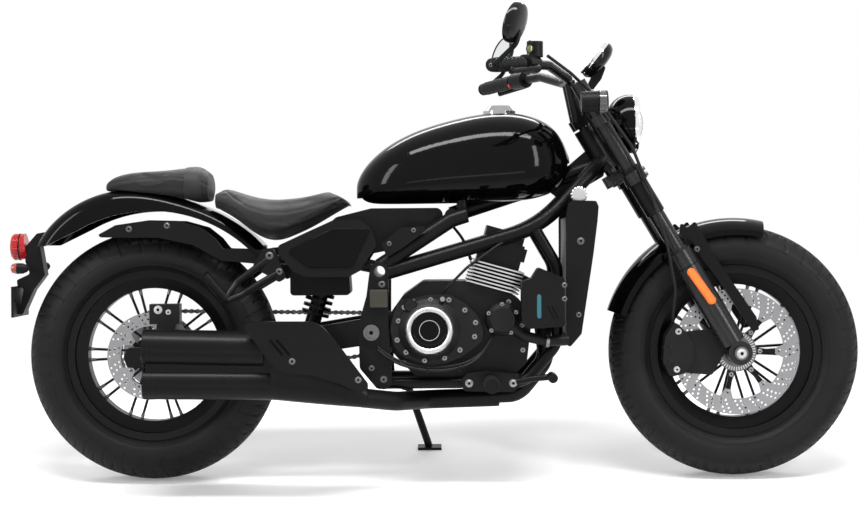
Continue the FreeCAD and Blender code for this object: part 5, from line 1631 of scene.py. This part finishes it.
class ForkTrim(bpy.types.Operator):
    """Seals, leg covers and reflectors, and the screws and nuts of the fork, calipers and swingarm"""

    bl_idname = "motorcycle.fork_trim"
    bl_label = "Trim the fork"

    def execute(self, context):
        for label, s in SIDES:
            self.leg(label, s)
            self.reflector(label, s)
        self.front_caliper()
        self.rear_end()
        return {"FINISHED"}

    def leg(self, label, s):
        along = (fork_at(1) - fork_at(0)).normalized()
        leg = fork_at(0, 0, s * LEG_Y)
        seal = [(286, 20.6), (286, 24.8), (299, 24.8), (303, 23.4), (304, 20.6)]
        hoop(f"dust_seal_{label}", seal, leg, along, "steering", "rubber_black", 64)
        shade = [(408, 20.6), (408, 23.0), (410, 24.6), (538, 24.6), (542, 23.2), (542, 20.6)]
        hoop(f"leg_cover_{label}", shade, leg, along, "steering", "satin_black", 64)
        out = (0, s, 0)
        places = [(fork_at(up, off, s * (LEG_Y + 6.8)), out, 6.2, 4.0) for up, off in ((150, 57), (92, 60))]
        screws(f"brace_screws_{label}", places, "steering", "dark_steel")
        upper = [(fork_at(up, off, s * 77.6), out, 6.0, 5.0) for up, off in ((276, 46), (262, -58))]
        screws(f"fender_screws_{label}", upper, "steering", "dark_steel")
        nut = [(FRONT_X, 149.8, AXLE_Z, 10.5, 5.0)]
        side_screws("axle_nut", (label, s), nut, "steering", "silver_cast", 6, 0.45, 1.2)
        line = [(252, 30.8), (252, 31.7), (255, 31.7), (255, 30.8)]
        hoop(f"slider_line_{label}", line, leg, along, "steering", "satin_black", 64)

    def reflector(self, label, s):
        base = [(248, -14), (248, 7.5), (142, 17), (142, -5)]
        near, middle, far = s * 131.5, s * 138.8, s * 140.2
        block = slab(
            f"reflector_base_{label}", base, near, middle, "steering", "amber_lens", 9, 1.0, place=fork_at,
        )
        if s < 0:
            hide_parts("fork_reflectors")
        glow = [(244, -10.6), (244, 4.4), (146, 13.4), (146, -1.6)]
        slab(f"reflector_face_{label}", glow, s * 138.4, far, "steering", "amber_glow", 7, 0.6, place=fork_at)
        across = (fork_at(0, 1) - fork_at(0, 0)).normalized()
        lines = []
        for i in range(16):
            place = fork_at(151 + 5.8 * i, 5.6 - 0.53 * i, s * 140.3)
            lines.append((place, (0, s, 0), across, (12.0, 0.9, 0.3)))
        ribs(f"reflector_lines_{label}", lines, "steering", "amber_glow")

    def front_caliper(self):
        angle = math.radians(177.2)
        bolts = []
        for across in (46, -50):
            radius = 160 - 6
            place = Vector((
                FRONT_X + radius * math.cos(angle) + across * math.sin(angle), -94,
                AXLE_Z + radius * math.sin(angle) - across * math.cos(angle),
            ))
            bolts.append((place, TO_RIGHT, 6.4, 6.0))
        screws("caliper_bolts", bolts, "steering", "silver_cast")
        caps = [((FRONT_X - 178, -97.6, AXLE_Z + z), TO_RIGHT, 11.0, 2.4) for z in (14, -22)]
        screws("caliper_pistons", caps, "steering", "cast_black", 28, 0.2, 1.15)

    def rear_end(self):
        bolts = [
            ((48, -111.6, AXLE_Z + 112), TO_RIGHT, 5.4, 5.0),
            ((22, -111.6, AXLE_Z + 118), TO_RIGHT, 8.5, 2.4),
        ]
        screws("rear_caliper_bolts", bolts, "chassis", "silver_cast")
        nut = [((0, -150, AXLE_Z), TO_RIGHT, 11.0, 6.0)]
        screws("rear_axle_nut", nut, "chassis", "silver_cast", 6, 0.45, 1.2)
        adjusters = [((-59, s * 124, AXLE_Z), (-1, 0, 0), 5.5, 6.0) for s in (-1, 1)]
        screws("chain_adjusters", adjusters, "chassis", "steel", 6, 0.4, 1.6)
        pivots = [((560, s * 159.6, 379), (0, s, 0), 14.0, 3.0) for s in (-1, 1)]
        screws("pivot_caps", pivots, "chassis", "dark_steel", 28, 0.4, 1.2)


# Stage
def add_light(name, place, target, size, power, size_y):
    data = bpy.data.lights.new(name, "AREA")
    data.shape = "RECTANGLE"
    data.size = size
    data.size_y = size_y
    data.energy = power
    light = bpy.data.objects.new(name, data)
    light.location = place
    light.rotation_euler = (Vector(target) - Vector(place)).to_track_quat("-Z", "Y").to_euler()
    bpy.context.scene.collection.objects.link(light)


def seen_rays(nodes, links):
    """A node whose value is 1 for rays of the camera and for those through glass or off a glossy surface."""
    rays = add(nodes, "ShaderNodeLightPath")
    first = add(nodes, "ShaderNodeMath", {"operation": "MAXIMUM"})
    both = add(nodes, "ShaderNodeMath", {"operation": "MAXIMUM"})
    wire(
        links, (rays, "Is Camera Ray", first, 0), (rays, "Is Transmission Ray", first, 1),
        (first, "Value", both, 0), (rays, "Is Glossy Ray", both, 1),
    )
    return both


def floor_material(color):
    """Pale floor that turns plain white to the camera away from the motorcycle, and keeps its shadow."""
    material = bpy.data.materials.new("pale_floor")
    material.use_nodes = True
    nodes, links = material.node_tree.nodes, material.node_tree.links
    shader = nodes["Principled BSDF"]
    set_inputs(shader, {"Roughness": 0.9, "Specular IOR Level": 0.1})
    place = add(nodes, "ShaderNodeTexCoord")
    grain = add(nodes, "ShaderNodeGroup", {"node_tree": grain_group()}, Scale=60.0)
    tone = add(
        nodes, "ShaderNodeMix", {"data_type": "RGBA"}, A=(*[c * 0.985 for c in color], 1), B=(*color, 1),
    )
    stretch = add(nodes, "ShaderNodeMapping", Scale=(0.42, 0.75, 1.0))
    far = add(nodes, "ShaderNodeVectorMath", {"operation": "LENGTH"})
    smooth = {"interpolation_type": "SMOOTHSTEP"}
    edge = add(nodes, "ShaderNodeMapRange", smooth, From_Min=0.45, From_Max=1.10)
    glow = add(nodes, "ShaderNodeEmission", Color=(1, 1, 1, 1))
    lift = add(nodes, "ShaderNodeEmission", Color=(1, 1, 1, 1), Strength=0.22)
    near = add(nodes, "ShaderNodeAddShader")
    ground = add(nodes, "ShaderNodeMixShader")
    mix = add(nodes, "ShaderNodeMixShader")
    wire(
        links, (place, "Object", grain, "Vector"), (grain, "Mask", tone, "Factor"),
        (tone, "Result", shader, "Base Color"), (place, "Object", stretch, "Vector"),
        (stretch, "Vector", far, 0), (far, "Value", edge, "Value"), (shader, "BSDF", near, 0),
        (lift, "Emission", near, 1), (edge, "Result", ground, "Fac"), (near, "Shader", ground, 1),
        (glow, "Emission", ground, 2), (seen_rays(nodes, links), "Value", mix, "Fac"),
        (shader, "BSDF", mix, 1), (ground, "Shader", mix, 2),
        (mix, "Shader", nodes["Material Output"], "Surface"),
    )
    return material


def white_surroundings():
    """A studio that is white where the camera looks, bright behind the motorcycle and dim in front of it."""
    world = bpy.data.worlds.new("studio")
    bpy.context.scene.world = world
    world.use_nodes = True
    nodes, links = world.node_tree.nodes, world.node_tree.links
    back = nodes["Background"]
    set_inputs(back, {"Color": (1, 1, 1, 1)})
    place = add(nodes, "ShaderNodeTexCoord")
    split = add(nodes, "ShaderNodeSeparateXYZ")
    around = add(nodes, "ShaderNodeMapRange", From_Min=-0.7, From_Max=0.9, To_Min=0.05, To_Max=0.75)
    strength = add(nodes, "ShaderNodeMix", B=1.0)
    wire(
        links, (place, "Generated", split, "Vector"), (split, "Y", around, "Value"),
        (seen_rays(nodes, links), "Value", strength, "Factor"), (around, "Result", strength, "A"),
        (strength, "Result", back, "Strength"),
    )


FLOOR_Z = -0.0004
FLOOR_CORNERS = ((-40, -40), (40, -40), (40, 40), (-40, 40))
# Name, place, target, width, power, height
LIGHTS = (
    ("overhead_bank", (0.0, -0.9, 2.9), (0, 0, 0.5), 3.0, 110, 0.40),
    ("front_bank", (2.6, -2.2, 1.9), (0.4, 0, 0.5), 0.45, 42, 1.9),
    ("rear_bank", (-2.8, -1.9, 1.9), (-0.4, 0, 0.5), 0.45, 36, 1.9),
    ("low_bank", (0.0, -3.2, 0.25), (0, 0, 0.5), 3.4, 7, 0.3),
    ("far_bank", (0.0, 2.6, 2.4), (0, 0, 0.6), 3.0, 45, 0.5),
)
SENSOR_WIDTH = 36.0


class Stage(bpy.types.Operator):
    """Place the pale floor, the soft lights and the camera of the photo"""

    bl_idname = "motorcycle.stage"
    bl_label = "Build the stage"

    def execute(self, context):
        stage = context.scene.motorcycle_stage
        context.scene.view_settings.view_transform = "Standard"
        white_surroundings()
        floor_mesh = bpy.data.meshes.new("studio_floor")
        floor_mesh.from_pydata([(x, y, FLOOR_Z) for x, y in FLOOR_CORNERS], [], [(0, 1, 2, 3)])
        floor = bpy.data.objects.new("studio_floor", floor_mesh)
        context.scene.collection.objects.link(floor)
        floor.data.materials.append(floor_material(stage.floor_color))
        for light in LIGHTS:
            add_light(*light)
        roll = stage.camera_roll
        right = Vector((math.cos(roll), 0, -math.sin(roll)))
        up = Vector((math.sin(roll), 0, math.cos(roll)))
        back = right.cross(up)
        pose = Matrix((
            (right.x, up.x, back.x, stage.camera_along),
            (right.y, up.y, back.y, -stage.camera_distance),
            (right.z, up.z, back.z, stage.camera_height),
            (0, 0, 0, 1),
        ))
        data = bpy.data.cameras.new("photo_camera")
        data.sensor_width = SENSOR_WIDTH
        data.lens = SENSOR_WIDTH * stage.camera_focal / PHOTO_W
        data.shift_x = (PHOTO_W / 2 - SIGHT_X) / PHOTO_W
        data.shift_y = (SIGHT_Y - PHOTO_H / 2) / PHOTO_W
        data.clip_start = 0.1
        data.clip_end = 200.0
        camera = bpy.data.objects.new("photo_camera", data)
        camera.matrix_world = TO_ROW @ pose
        context.scene.collection.objects.link(camera)
        context.scene.camera = camera
        return {"FINISHED"}


OPERATORS = [
    Stage, FrameFinish, Seats, Tyres, WheelTrim, DriveChain, EngineTrim, CoolingTrim, ExhaustTrim, BodyTrim,
    Lamps, Mirrors, Instrument, Controls, ForkTrim,
]


class MotorcyclePanel(bpy.types.Panel):
    """Sizes and colours of the motorcycle, and a button for each group of pieces"""

    bl_idname = "VIEW3D_PT_motorcycle"
    bl_label = "Cruiser motorcycle"
    bl_space_type = "VIEW_3D"
    bl_region_type = "UI"
    bl_category = "Motorcycle"

    def draw(self, context):
        for key, group in SETTINGS.items():
            box = self.layout.box()
            for field in group.__annotations__:
                box.prop(getattr(context.scene, key), field)
        for operator in OPERATORS:
            self.layout.operator(operator.bl_idname)


def register():
    for cls in [*SETTINGS.values(), *OPERATORS, MotorcyclePanel]:
        bpy.utils.register_class(cls)
    for key, group in SETTINGS.items():
        setattr(bpy.types.Scene, key, PointerProperty(type=group))


def unregister():
    for key in SETTINGS:
        delattr(bpy.types.Scene, key)
    for cls in reversed([*SETTINGS.values(), *OPERATORS, MotorcyclePanel]):
        bpy.utils.unregister_class(cls)


def run(operator):
    """Call an operator by its id, as its button would."""
    group, name = operator.bl_idname.split(".")
    getattr(getattr(bpy.ops, group), name)()


def main():
    register()
    for operator in OPERATORS:
        run(operator)


if __name__ == "__main__":
    main()
